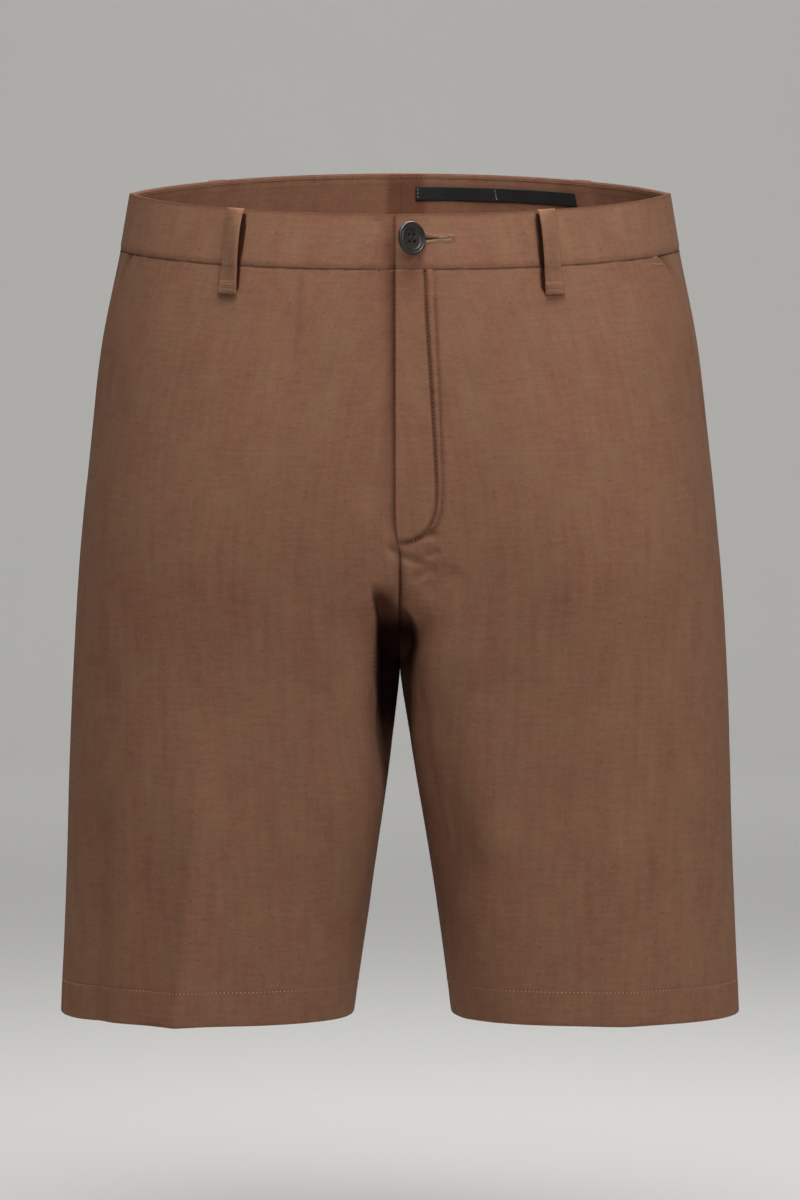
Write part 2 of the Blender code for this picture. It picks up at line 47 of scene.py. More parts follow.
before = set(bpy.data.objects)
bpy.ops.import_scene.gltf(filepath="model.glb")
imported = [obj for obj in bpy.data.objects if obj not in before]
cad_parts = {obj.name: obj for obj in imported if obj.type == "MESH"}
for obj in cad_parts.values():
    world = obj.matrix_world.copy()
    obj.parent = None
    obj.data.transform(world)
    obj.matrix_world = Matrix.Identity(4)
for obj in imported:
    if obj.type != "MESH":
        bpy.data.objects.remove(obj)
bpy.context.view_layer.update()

CM = 0.01
MM = 0.001

# Thickness of the cloth and of its doubled parts
PANEL_WALL = 1.5 * MM
HEM_WALL = 2.6 * MM
BAND_WALL = 2.8 * MM
SHIELD_WALL = 1.5 * MM
FACING_WALL = 1.2 * MM
LABEL_WALL = 0.5 * MM
LOOP_WALL = 1.8 * MM
SEAM_GAP = 0.3 * MM
JOIN_GAP = 0.1 * MM
CENTRE_LAP = 0.05 * MM
# How much of the outer face's relief shows inside: its height up to a limit, and a share of that
RELIEF_MOST = 0.4 * MM
RELIEF_SHARE = 0.4

# Drops below the waist's top edge
BAND_SEAM = 3.5 * CM
FLY_END = 21.5 * CM
SEAT_TOP = 13.0 * CM
CROTCH = 28.7 * CM
HEM_FOLD = 47.35 * CM
HEM_EDGE = 49.4 * CM

# How the crotch seam falls away from the front and from the seat, the higher the later
FRONT_CROTCH_POWER = 2.5
BACK_CROTCH_POWER = 3.0

# The cleft that the inner corners of the fronts leave between the legs
CLEFT_DEPTH = 4.0 * CM
CLEFT_NARROWING = 4.5 * CM
CLEFT_FLOOR = 1.5 * CM
CLEFT_SPREAD = 5.0 * CM

WAIST_TILT = 1.82 * CM
TILT_POWER = 1.4
TILT_FADE = 30.0 * CM
SIDE_SEAM_ANGLE = math.radians(10.0)

# The left front laps over the right one down to the fly's end
FLY_OFFSET = -0.22 * CM
FLY_OFFSET_REACH = 5.0 * CM
FLY_OFFSET_FADE = 3.0 * CM
FLY_DIP = 2.5 * MM
LAP_DIP_START = 1.3 * CM
LAP_DIP_WIDTH = 1.1 * CM
UNDERLAP = 3.6 * CM
SHIELD_REACH = 1.0 * CM
SHIELD_BOTTOM = 19.8 * CM
SHIELD_END_SQUARENESS = 6
SHIELD_END = 0.92

BAND_PROUD = 0.5 * MM

POCKET_WIDTH = 4.2 * CM
POCKET_SIDE = 2.4 * CM
POCKET_BEND = 1.2 * CM
POCKET_BOTTOM = 16.0 * CM
POCKET_UNDERLAP = 1.4 * CM
POCKET_STEP = 0.1 * CM
POCKET_RIGHT_SHARE = 0.72
POCKET_RISE = 0.9 * CM
FACING_BOTTOM = 15.0 * CM

LOOP_WIDTH = 1.15 * CM
LOOP_TOP = 0.08 * CM
LOOP_BOTTOM = 5.25 * CM

LABEL_TOP = 0.86 * CM
LABEL_BOTTOM = 1.62 * CM

BUTTON_DROP = 1.68 * CM
BUTTON_FROM_MIDDLE = 0.78 * CM
BUTTON_TURN = math.radians(37.0)
BUTTON_TIP = math.radians(5.0)
BUTTON_SHANK = 5.2 * MM
SHANK_SUNK = 0.4 * MM

SECTION_POINTS = 240
PROBE_DROP = 0.5 * MM
PROBE_SHARE = 0.002

# One row for each level of the body, in centimetres. side: half width; front and back: reach from
# the middle plane; crease: where the front and back stand out most, from the middle; gap_right and
# gap_left: from the middle to each leg's inner side; outer, front_turn and back_turn: how square the
# outer side and the inner front and back corners are, as superellipse exponents.
Level = namedtuple("Level", "drop side front back crease gap_right gap_left outer front_turn back_turn")
LEVELS = (
    Level(0.0, 16.20, 11.75, 11.75, 0.0, 0.00, 0.00, 2.15, 7.0, 4.0),
    Level(3.5, 16.80, 11.95, 12.15, 0.8, 0.00, 0.00, 2.20, 7.0, 4.0),
    Level(9.0, 17.90, 12.10, 13.20, 2.2, 0.00, 0.00, 2.25, 7.0, 4.0),
    Level(15.0, 18.60, 12.10, 13.85, 4.0, 0.00, 0.00, 2.30, 7.0, 4.0),
    Level(21.0, 19.20, 11.70, 13.20, 6.2, 0.00, 0.00, 2.30, 7.0, 4.0),
    Level(28.7, 19.67, 10.40, 10.90, 8.6, 0.00, 0.00, 2.25, 9.0, 3.5),
    Level(33.0, 19.85, 9.90, 10.10, 9.6, 0.48, 0.66, 2.20, 6.5, 3.0),
    Level(41.0, 20.10, 9.10, 9.10, 10.9, 1.60, 1.97, 2.05, 3.5, 2.6),
    Level(49.4, 20.45, 8.40, 8.10, 11.7, 2.77, 3.08, 1.95, 2.5, 2.3),
)

# One row for each side of the cleft, in centimetres: its side (-1 right, 1 left), its width, and the
# drops between which it opens and then closes again.
Cleft = namedtuple("Cleft", "hand width start full fade end")
CLEFTS = (
    Cleft(-1, 1.20, 22.8, 24.2, 30.5, 37.0),
    Cleft(1, 0.75, 24.0, 25.6, 27.5, 33.5),
)

# One row for each level of the hollow between the legs, in centimetres: the sides' lips, from the
# middle, and how far the cloth inside them falls back, at the seam and, on the right, beside its lip.
Hollow = namedtuple("Hollow", "drop lip_right lip_left back_right back_left finger")
HOLLOWS = (
    Hollow(22.9, 1.85, 0.10, 0.0, 0.0, 0.0),
    Hollow(23.3, 1.80, 0.10, 0.0, 0.0, 0.8),
    Hollow(23.8, 1.74, 0.12, 0.0, 0.0, 1.9),
    Hollow(24.4, 1.60, 0.45, 0.3, 0.3, 2.4),
    Hollow(25.0, 1.48, 0.80, 1.3, 1.3, 2.2),
    Hollow(25.8, 1.40, 1.02, 2.4, 2.4, 1.4),
    Hollow(26.8, 1.42, 1.09, 3.0, 3.0, 0.8),
    Hollow(28.0, 1.46, 0.84, 3.2, 2.4, 0.6),
    Hollow(29.2, 1.47, 0.60, 3.2, 0.7, 0.5),
    Hollow(30.6, 1.36, 0.50, 2.8, 0.0, 0.4),
    Hollow(32.0, 1.13, 0.60, 1.3, 0.0, 0.1),
    Hollow(33.4, 0.88, 0.70, 0.2, 0.0, 0.0),
    Hollow(34.5, 0.80, 0.80, 0.0, 0.0, 0.0),
)
HOLLOW_BANK = 0.36 * CM
HOLLOW_FINGER = 1.3 * CM
HOLLOW_NEAR = 1.5 * CM
HOLLOW_REACH = 7.5 * CM
# The painted shade of the hollow on each hand, in centimetres: how soft its side edge is and how far
# in that starts, and from which drop and over what length it ends
HOLLOW_SHADES = {-1: (0.2, 0.14, 30.6, 3.0), 1: (0.50, 0.36, 27.4, 2.4)}

# One row for each large fold, in centimetres: the face that it is on (-1 front, 1 back), where its
# line starts and ends across the body and down it, its half width, and its height, which is negative
# for a trough.
Fold = namedtuple("Fold", "face x_top drop_top x_low drop_low width height")
FOLDS = (
    Fold(-1, -12.3, 33.0, -13.4, 50.0, 1.30, 0.30),
    Fold(-1, -17.6, 34.0, -18.3, 50.0, 0.90, -0.22),
    Fold(-1, 12.6, 36.0, 13.2, 50.0, 1.60, 0.20),
    Fold(-1, -6.0, 5.5, -6.9, 13.0, 0.70, -0.05),
    Fold(-1, 6.4, 6.0, 7.0, 12.0, 0.80, -0.04),
    Fold(-1, -2.6, 23.5, -4.8, 29.0, 1.10, 0.10),
    Fold(-1, 2.4, 23.5, 4.4, 29.0, 1.00, 0.07),
    Fold(1, -12.2, 30.0, -12.8, 50.0, 1.50, 0.28),
    Fold(1, 12.2, 31.0, 12.8, 50.0, 1.50, 0.24),
    Fold(1, -4.0, 25.0, -8.4, 32.5, 2.20, 0.30),
    Fold(1, 4.0, 25.0, 8.8, 32.0, 2.20, 0.26),
)

# One row for each small crease, in centimetres: its face, its ends as in a fold, how far its middle
# bows aside, its widths on the right and left hand of its line, its height, and how sharp its crest
# is, from 2 for a round one down to 1 for a pressed one.
Crease = namedtuple("Crease", "face x_top drop_top x_low drop_low bow right left height crest")
CREASES = (
    Crease(-1, -0.10, 21.40, 2.45, 20.30, 0.18, 0.26, 0.26, -0.16, 2.0),
    Crease(-1, -0.95, 21.05, 1.75, 22.20, -0.20, 0.24, 0.28, -0.19, 2.0),
    Crease(-1, 1.35, 21.75, 2.45, 21.45, 0.04, 0.20, 0.22, -0.11, 2.0),
    Crease(-1, 0.30, 20.95, 2.10, 20.70, 0.06, 0.30, 0.30, 0.09, 2.0),
    Crease(-1, 0.60, 23.20, 2.30, 22.35, 0.12, 0.30, 0.34, -0.15, 2.0),
    Crease(-1, 1.30, 24.20, 3.80, 22.50, 0.30, 0.50, 0.60, -0.12, 2.0),
    Crease(-1, -5.90, 4.70, -6.60, 11.80, 0.15, 0.25, 0.30, -0.10, 1.6),
    Crease(-1, -5.40, 4.90, -5.90, 9.20, 0.10, 0.25, 0.25, 0.06, 2.0),
    Crease(-1, -1.90, 17.60, -3.10, 26.00, -0.15, 0.80, 1.30, 0.14, 2.0),
    Crease(-1, -11.60, 30.50, -14.20, 56.00, 0.50, 1.05, 2.00, 0.62, 1.10),
    Crease(-1, 5.20, 27.00, 5.40, 39.00, 0.10, 2.20, 2.20, -0.22, 2.0),
    Crease(-1, 12.60, 33.00, 13.60, 58.00, 0.10, 2.20, 1.10, 0.14, 1.4),
    Crease(-1, -17.60, 34.00, -18.40, 56.00, 0.10, 0.60, 0.80, -0.19, 1.6),
    Crease(-1, 1.30, 27.60, 3.40, 43.50, 0.20, 2.30, 1.90, -0.85, 2.0),
    Crease(-1, -18.40, 27.60, -17.60, 31.00, 0.20, 0.90, 0.90, -0.10, 2.0),
    Crease(-1, -11.60, 26.00, -10.20, 29.40, 0.20, 1.00, 1.00, -0.07, 2.0),
    Crease(-1, -6.40, 24.40, -5.20, 28.60, 0.20, 1.20, 1.20, 0.07, 2.0),
    Crease(-1, 2.00, 33.50, 2.90, 39.00, 0.15, 0.70, 0.70, -0.08, 2.0),
    Crease(-1, 1.70, 35.00, 2.72, 40.50, 0.10, 0.14, 0.40, -0.14, 1.5),
    Crease(-1, 2.66, 39.50, 3.30, 56.00, 0.05, 0.14, 0.40, -0.12, 1.5),
    Crease(-1, -1.50, 38.50, -2.90, 54.00, 0.05, 0.40, 0.25, -0.16, 1.6),
    Crease(-1, 12.90, 0.60, 12.50, 1.60, 0.05, 0.14, 0.16, -0.04, 2.0),
    Crease(-1, 12.30, 1.40, 12.55, 2.20, 0.05, 0.14, 0.14, -0.035, 2.0),
    Crease(-1, 14.73, 0.90, 14.80, 3.40, 0.03, 0.30, 0.14, -0.05, 1.6),
    Crease(-1, -1.60, 2.10, -0.60, 3.30, 0.10, 0.30, 0.30, -0.05, 2.0),
    Crease(-1, 3.20, 2.00, 6.20, 2.25, 0.06, 0.25, 0.30, -0.03, 2.0),
    Crease(-1, -8.00, 1.20, -3.40, 1.60, 0.06, 0.25, 0.35, -0.03, 2.0),
    Crease(-1, 6.20, 27.00, 10.50, 31.00, 0.40, 1.40, 1.40, 0.05, 2.0),
    Crease(1, -12.20, 29.00, -12.80, 50.60, 0.12, 0.60, 0.90, 0.09, 1.3),
    Crease(1, 12.20, 30.00, 12.80, 50.60, -0.10, 0.90, 0.60, 0.08, 1.3),
    Crease(1, 0.90, 21.00, 4.60, 24.20, 0.35, 0.60, 0.80, -0.09, 2.0),
    Crease(1, -0.80, 21.80, -5.00, 24.60, -0.30, 0.70, 0.60, -0.09, 2.0),
    Crease(1, 2.50, 27.00, 7.50, 29.20, 0.30, 0.60, 0.60, -0.08, 2.0),
    Crease(1, -2.40, 27.40, -7.90, 29.00, -0.25, 0.60, 0.60, -0.08, 2.0),
    Crease(1, -5.50, 5.00, -1.00, 7.20, -0.40, 0.80, 0.80, -0.06, 2.0),
    Crease(1, 4.50, 5.20, 0.80, 7.00, 0.40, 0.80, 0.80, -0.05, 2.0),
    Crease(1, -13.50, 18.50, -7.00, 20.50, 0.50, 1.30, 1.30, -0.06, 2.0),
    Crease(1, 13.00, 19.50, 7.50, 21.00, -0.50, 1.30, 1.30, -0.06, 2.0),
)

# Broad unevenness of the cloth: the size of its swells and their height
Swell = namedtuple("Swell", "size height seed")
SWELLS = (
    Swell(5.5 * CM, 0.38 * MM, 11),
    Swell(2.4 * CM, 0.13 * MM, 12),
    Swell(1.1 * CM, 0.045 * MM, 13),
)
SWELL_STRETCH = np.array([1.25, 1.25, 0.6])
NOISE_CELLS = 32

# One row for each belt loop: its side, and its share of the half girth at its top and bottom ends.
Loop = namedtuple("Loop", "name hand share_top share_low")
BELT_LOOPS = (
    Loop("belt_loop_front_right", -1, 0.476, 0.470),
    Loop("belt_loop_front_left", 1, 0.421, 0.418),
    Loop("belt_loop_back_right", -1, 1.520, 1.520),
    Loop("belt_loop_back_left", 1, 1.520, 1.520),
)
# The halves of the loop over the centre back
CENTRE_LOOP = (Loop("", 1, 2.0, 2.0), Loop("", -1, 2.0, 2.0))
# The painted shadow beside each front loop's raised edge, as points (drop in centimetres, width in
# millimetres)
LOOP_SHADOWS_RIGHT = (
    (0.35, 0.0), (0.7, 0.4), (1.3, 1.2), (2.0, 0.9), (3.2, 0.3), (3.7, 0.2), (4.6, 0.7), (5.1, 0.0),
)
LOOP_SHADOWS_LEFT = (
    (0.25, 0.0), (0.6, 0.9), (2.0, 0.8), (3.0, 1.2), (3.5, 0.7), (4.0, 1.6), (4.8, 1.8), (5.15, 0.0),
)
# How far a loop arches off the cloth, at its near and far edges
FRONT_LOOP_STAND = (4.8 * MM, 1.0 * MM)
BACK_LOOP_STAND = (2.4 * MM, 2.0 * MM)
CENTRE_LOOP_STAND = (2.2 * MM, 2.2 * MM)

# One row for each label: its ends, as distances from the centre back along the girth.
Label = namedtuple("Label", "name near far")
LABELS = (
    Label("label_main", 1.00 * CM, 6.05 * CM),
    Label("label_size", 6.12 * CM, 11.60 * CM),
)

# The two rows of the fly's curved stitching, in centimetres: a drop and the distance from the middle.
INNER_FLY_ROW = (
    (3.62, 1.60), (6.6, 1.72), (9.7, 1.90), (12.8, 2.07), (15.5, 2.21), (17.3, 2.25),
    (18.2, 2.22), (19.0, 2.03), (19.6, 1.66), (20.05, 1.10), (20.2, 0.70), (20.25, 0.35), (20.26, 0.05),
)
OUTER_FLY_ROW = (
    (3.62, 2.10), (7.9, 2.28), (11.7, 2.44), (14.8, 2.53), (17.3, 2.58), (18.7, 2.46),
    (19.5, 2.08), (20.02, 1.30), (20.32, 0.55), (20.38, 0.05),
)


def side_of(hand):
    return "left" if hand > 0 else "right"


def smooth(share):
    """0 up to 0 and 1 from 1 on, with a soft S between them."""
    share = np.clip(share, 0.0, 1.0)
    return share * share * (3.0 - 2.0 * share)


def bell(distance, width):
    """1 at no distance, falling off on both sides over this width."""
    return np.exp(-((distance / width) ** 2))


def past(place, start, reach):
    """0 up to a start and 1 this far beyond it, with a soft S between; both are in centimetres."""
    return smooth((place - start * CM) / (reach * CM))


def run_along(steps):
    """Distance from the start at each point of a line, by the lengths of its steps."""
    return np.concatenate([[0.0], np.cumsum(steps)])


def cubic(rows, knots, wanted):
    """Rows at these places between their knots: cubic pieces, sloped as the rows around them."""
    slopes = np.gradient(rows, knots, axis=0)
    below = np.clip(np.searchsorted(knots, wanted, side="right") - 1, 0, len(knots) - 2)
    span = (knots[below + 1] - knots[below])[:, None]
    t = (wanted - knots[below])[:, None] / span
    return (
        (1 + 2 * t) * (1 - t) ** 2 * rows[below]
        + t * (1 - t) ** 2 * span * slopes[below]
        + t * t * (3 - 2 * t) * rows[below + 1]
        + t * t * (t - 1) * span * slopes[below + 1]
    )


def levels_at(drop):
    """LEVELS at each of these drops, in metres."""
    rows = np.array(LEVELS)
    values = cubic(rows, rows[:, 0] * CM, drop)
    values[:, 1:7] *= CM
    return Level(*(column[:, None] for column in values.T))


def crotch_reach(drop, start, power):
    """How far the crotch seam stands from the section's middle, as a share: 1 - fall to a power."""
    fall = np.clip((drop - start) / (CROTCH - start), 0.0, 1.0)
    return 1.0 - fall**power


def section(drop, hand):
    """Fine points (x, y) round one half of the body at each drop, and each point's share of the girth.

    Each quarter is a superellipse about (crease, middle). Above the crotch the inner quarters are cut
    off at x = 0, where the crotch seam is. Below it they end at the leg's inner side.
    """
    level = levels_at(drop)
    drop = drop[:, None]
    gap = np.maximum(level.gap_left if hand > 0 else level.gap_right, 0.0)
    middle = (level.back - level.front) / 2
    reach = (level.back + level.front) / 2
    ends = []
    inner = []
    for start, power, turn in (
        (FLY_END, FRONT_CROTCH_POWER, level.front_turn),
        (SEAT_TOP, BACK_CROTCH_POWER, level.back_turn),
    ):
        depth = crotch_reach(drop, start, power)
        cut = np.maximum(1.0 - depth**turn, 1e-9) ** (1.0 / turn)
        leg = drop >= CROTCH
        ends.append(np.where(leg, 0.0, np.arctan2(depth, cut)))
        inner.append(np.where(leg, level.crease - gap, level.crease / np.where(leg, 1.0, cut)))
    along = np.linspace(0.0, 1.0, SECTION_POINTS)
    seam = 2 * math.pi - SIDE_SEAM_ANGLE
    first = math.pi + ends[0]
    last = 3 * math.pi - ends[1]
    angle = np.concatenate([first + (seam - first) * along, seam + (last - seam) * along], axis=1)
    cosine = np.cos(angle)
    sine = np.sin(angle)
    inside = cosine < 0
    power = np.where(inside, np.where(sine < 0, level.front_turn, level.back_turn), level.outer)
    half = np.where(inside, np.where(sine < 0, inner[0], inner[1]), level.side - level.crease)
    radius = (np.abs(cosine) ** power + np.abs(sine) ** power) ** (-1.0 / power)
    x = level.crease + half * radius * cosine
    y = middle + reach * radius * sine
    step = np.hypot(np.diff(x, axis=1), np.diff(y, axis=1))
    shares = []
    girths = []
    for part in (step[:, : SECTION_POINTS - 1], step[:, SECTION_POINTS:]):
        run = np.concatenate([np.zeros_like(drop), np.cumsum(part, axis=1)], axis=1)
        girths.append(run[:, -1:])
        shares.append(run / run[:, -1:])
    shares[1] = shares[1] + 1.0
    return x, y, np.concatenate(shares, axis=1), girths, middle, reach


def girth(drop, hand):
    """Length of the front and of the back, from seam to seam, at each drop, as two columns."""
    return section(drop, hand)[3]


def girth_at(drop, hand, part=0):
    """Length of the front, or of the back for part 1, at one drop."""
    return girth(np.array([drop]), hand)[part][0, 0]


def cleft_width(px, py, drop, middle, reach, hand):
    """How far the cleft draws points of a front away from the middle."""
    row = next(cleft for cleft in CLEFTS if cleft.hand == hand)
    opening = smooth((drop - row.start * CM) / ((row.full - row.start) * CM))
    closing = 1.0 - smooth((drop - row.fade * CM) / ((row.end - row.fade) * CM))
    floor = middle - reach * crotch_reach(drop, FLY_END, FRONT_CROTCH_POWER)
    off_floor = smooth((floor - py) / CLEFT_FLOOR)
    inward = 1.0 - smooth((py - (middle - reach) - CLEFT_DEPTH) / CLEFT_NARROWING)
    aside = 1.0 - smooth(px / CLEFT_SPREAD)
    return row.width * CM * opening * closing * off_floor * inward * aside


def hollow_depth(px, py, drop, front, hand):
    """How far the cloth between the hollow's lips falls back, less and less away from the front."""
    rows = Hollow(*np.array(HOLLOWS).T)
    lips, backs = (rows.lip_left, rows.back_left) if hand > 0 else (rows.lip_right, rows.back_right)
    lip = np.interp(drop, rows.drop * CM, lips) * CM
    bank = np.minimum(HOLLOW_BANK, 0.7 * lip)
    inside = 1.0 - smooth((px - lip + bank) / bank)
    back = np.interp(drop, rows.drop * CM, backs) * CM
    if hand < 0:
        back = back + np.interp(drop, rows.drop * CM, rows.finger) * CM * smooth(px / HOLLOW_FINGER)
    return inside * back * (1.0 - smooth((py - front - HOLLOW_NEAR) / HOLLOW_REACH))


def hollow_shade(spots):
    """Painted shade between the legs: how strongly a place's colour is darkened there, from 0 to 1."""
    rows = Hollow(*np.array(HOLLOWS).T)
    drop = spots.drop
    lip = np.interp(drop, rows.drop * CM, rows.lip_left if spots.hand > 0 else rows.lip_right) * CM
    front = levels_at(drop[:, 0]).front
    behind = smooth((spots.bare[..., 1] + front - 0.5 * CM) / (1.6 * CM))
    soft, inward, low, fade = (part * CM for part in HOLLOW_SHADES[spots.hand])
    between = 1.0 - smooth((np.abs(spots.bare[..., 0]) - lip + inward) / soft)
    level = 0.5 * past(drop, 22.8, 0.8) + 0.5 * past(drop, 24.8, 1.2)
    level = level * (1.0 - smooth((drop - low) / fade))
    if spots.hand > 0:
        level = level * (1.0 - 0.45 * past(drop, 26.0, 1.8))
    if spots.share[0, 0] < 1.0:
        return behind * between * level
    return (1.0 - smooth(spots.centre / (3.0 * CM))) * level * past(drop, 27.0, 1.5)


def loop_shade(spots):
    """Painted shadow beside a front belt loop's raised edge: how strongly a place is darkened, from 0 to 1.
    """
    total = np.zeros(spots.drop.shape)
    front = girth(spots.drop[:, 0], spots.hand)[0]
    for loop in BELT_LOOPS:
        if loop.hand != spots.hand or loop.share_top > 1.0:
            continue
        shadow_widths = LOOP_SHADOWS_LEFT if loop.hand > 0 else LOOP_SHADOWS_RIGHT
        drops, widths = np.array(shadow_widths).T
        along = np.clip((spots.drop - LOOP_TOP) / (LOOP_BOTTOM - LOOP_TOP), 0.0, 1.0)
        centre = loop.share_top + (loop.share_low - loop.share_top) * along
        away = (centre - spots.share) * front - LOOP_WIDTH / 2
        width = np.interp(spots.drop, drops * CM, widths * MM)
        # gap: how far the painted shadow beside the loop covers a place
        gap = (1.0 - smooth((away - width + 0.3 * MM) / (0.6 * MM))) * smooth((away + 5 * MM) / (2 * MM))
        total = np.maximum(total, 0.93 * gap * (width > 0.05 * MM))
    return total


def seam_shade(spots, away):
    """Painted shade along the waistband's seam, uneven along it: how strongly a place is darkened."""
    uneven = noise(np.stack([spots.side / (7 * MM), 0 * away, 0 * away], axis=-1), 1.0, 44)
    return (0.20 + 0.30 * uneven) * np.exp(-away / (0.30 * MM))


def fly_shade(spots):
    """Painted shade on a front: beside the fly's edge, in the grooves of its rows and along the crotch seam.
    """
    drop = spots.drop
    centre = spots.centre
    level = 0.60 * past(drop, 20.3, 0.8) + 0.25 * past(drop, 21.0, 1.5)
    seam = level * np.exp(-centre / (1.0 * MM))
    if spots.hand < 0:
        level = 0.62 - 0.42 * past(drop, 7.0, 12.0)
        level = level * (1.0 - past(drop, 20.5, 1.0))
        return np.maximum(seam, level * np.exp(-((centre / (5.5 * MM)) ** 1.3)))
    inner, _ = along_row(INNER_FLY_ROW, drop, centre)
    outer, _ = along_row(OUTER_FLY_ROW, drop, centre)
    inner_level = 0.25 + 0.35 * past(drop, 4.6, 1.2)
    inner_level = inner_level - 0.2 * past(drop, 15.0, 4)
    rows = inner_level * bell(inner + 0.1 * MM, 0.9 * MM)
    rows = np.maximum(rows, 0.38 * bell(outer, 0.9 * MM) * past(drop, 4.6, 1.0))
    return np.maximum(seam, rows * (drop < 21.0 * CM))


def bare_body(drop, share, hand):
    """Points of one half before its folds: rows of equal drop, columns at these shares of the girth."""
    x, y, shares, _, middle, reach = section(drop, hand)
    offset = 4.0 * np.arange(len(drop))[:, None]
    wanted = (share + offset).ravel()
    known = (shares + offset).ravel()
    px = np.interp(wanted, known, x.ravel()).reshape(share.shape)
    py = np.interp(wanted, known, y.ravel()).reshape(share.shape)
    drop = drop[:, None]
    tilt = WAIST_TILT * np.clip(1.0 - drop / TILT_FADE, 0.0, 1.0)
    depth = (py - middle) / reach
    pz = tilt * np.sign(depth) * np.abs(depth) ** TILT_POWER - drop
    px = px + cleft_width(px, py, drop, middle, reach, hand)
    py = py + hollow_depth(px, py, drop, middle - reach, hand) * (py < middle)
    px = (px - CENTRE_LAP) * hand
    shift = FLY_OFFSET * (1.0 - smooth((drop - FLY_END + FLY_OFFSET_FADE) / FLY_OFFSET_FADE))
    px = px + shift * (1.0 - smooth(np.abs(px) / FLY_OFFSET_REACH)) * (py < middle)
    return np.stack([px, py, pz], axis=-1)


def facing_out(surface, drop, share, hand):
    """Outward unit normals of a surface function, from its differences down and across."""
    low = surface(drop - PROBE_DROP, share, hand)
    high = surface(drop + PROBE_DROP, share, hand)
    near = surface(drop, np.clip(share - PROBE_SHARE, 0.0, 2.0), hand)
    far = surface(drop, np.clip(share + PROBE_SHARE, 0.0, 2.0), hand)
    normal = np.cross(far - near, high - low) * -hand
    return normal / np.linalg.norm(normal, axis=-1, keepdims=True)


def away_from(row, points):
    """Signed distance from a fold's or a crease's line, and the share of the way down it."""
    place = np.stack([points[..., 0], -points[..., 2]], axis=-1)
    start = np.array([row.x_top, row.drop_top]) * CM
    line = np.array([row.x_low, row.drop_low]) * CM - start
    length = np.linalg.norm(line)
    away = place - start
    along = away @ line / length**2
    across = (away[..., 0] * line[1] - away[..., 1] * line[0]) / length
    return across, along


def folded(points, facing, strength):
    """Height of the folds and creases: a bell across each one's line, fading at its ends."""
    total = np.zeros(points.shape[:-1])
    for fold in FOLDS:
        across, along = away_from(fold, points)
        ends = smooth(along * 3.0) * smooth((1.15 - along) * 5.0)
        ridge = bell(across, fold.width * CM)
        total += fold.height * CM * ridge * ends * smooth(facing[..., 1] * fold.face * 2.0)
    for crease in CREASES:
        across, along = away_from(crease, points)
        across = across - crease.bow * CM * 4.0 * along * (1.0 - along)
        width = np.where(across < 0.0, crease.right, crease.left) * CM
        ridge = np.exp(-(np.abs(across / width) ** crease.crest))
        ends = smooth(along * 4.0) * smooth((1.0 - along) * 4.0)
        side = smooth(facing[..., 1] * crease.face * 3.0)
        total += strength * crease.height * CM * ridge * ends * side
    return total


def noise(points, size, seed):
    """Smooth noise from -1 to 1: random values on a cubic lattice of this size, joined by soft S's."""
    lattice = np.random.default_rng(seed).uniform(-1.0, 1.0, (NOISE_CELLS,) * 3)
    scaled = points / size
    cell = np.floor(scaled).astype(int)
    part = smooth(scaled - cell)
    total = np.zeros(points.shape[:-1])
    for corner in itertools.product((0, 1), repeat=3):
        corner = np.array(corner)
        weight = np.prod(np.where(corner > 0, part, 1.0 - part), axis=-1)
        index = np.moveaxis((cell + corner) % NOISE_CELLS, -1, 0)
        total += weight * lattice[tuple(index)]
    return total


# A grid of places on the cloth. bare: their points before folds; out: outward normals; lay: the
# height of folds, creases and swells; side: distance from the side seam, negative in front; centre:
# distance from the centre seam.
Places = namedtuple("Places", "hand drop share bare out lay side centre")


def places(drop, share, hand):
    """The places at these drops, one a row, and these shares, a column for each row."""
    options = bpy.context.scene.shorts_sizes
    share = np.broadcast_to(share, (len(drop), np.shape(share)[-1])).copy()
    bare = bare_body(drop, share, hand)
    out = facing_out(bare_body, drop, share, hand)
    lay = folded(bare, out, options.creases)
    for swell in SWELLS:
        lay += options.unevenness * swell.height * noise(bare * SWELL_STRETCH, swell.size, swell.seed)
    front, back = girth(drop, hand)
    side = (share - 1.0) * np.where(share < 1.0, front, back)
    centre = np.where(share < 1.0, share * front, (2.0 - share) * back)
    down = np.broadcast_to(drop[:, None], share.shape)
    return Places(hand, down, share, bare, out, lay, side, centre)


def at_height(spots, height):
    """Points this far out from the cloth's resting surface, held to their line at the crotch seam."""
    free = smooth(spots.centre / (4 * MM))
    free = 1.0 - (1.0 - free) * (1.0 - smooth((spots.drop - CROTCH) / (8 * MM)))
    push = spots.out * (spots.lay + height)[..., None]
    push[..., 0] *= free
    return spots.bare + push


def cloth_map(spots):
    """Where the places lie on the cloth, in metres: across from the side seam, and down."""
    return np.stack([spots.side, spots.drop], axis=-1)


def spaced(*stops):
    """Positions from the first stop to the last. Each stop is a position and the spacing there."""
    place, spacing = np.array(stops).T
    fine = np.linspace(place[0], place[-1], 4000)
    count = run_along(np.diff(fine) / np.interp(fine, place, spacing)[1:])
    steps = max(int(round(count[-1])), 1)
    return np.interp(np.linspace(0.0, count[-1], steps + 1), count, fine)


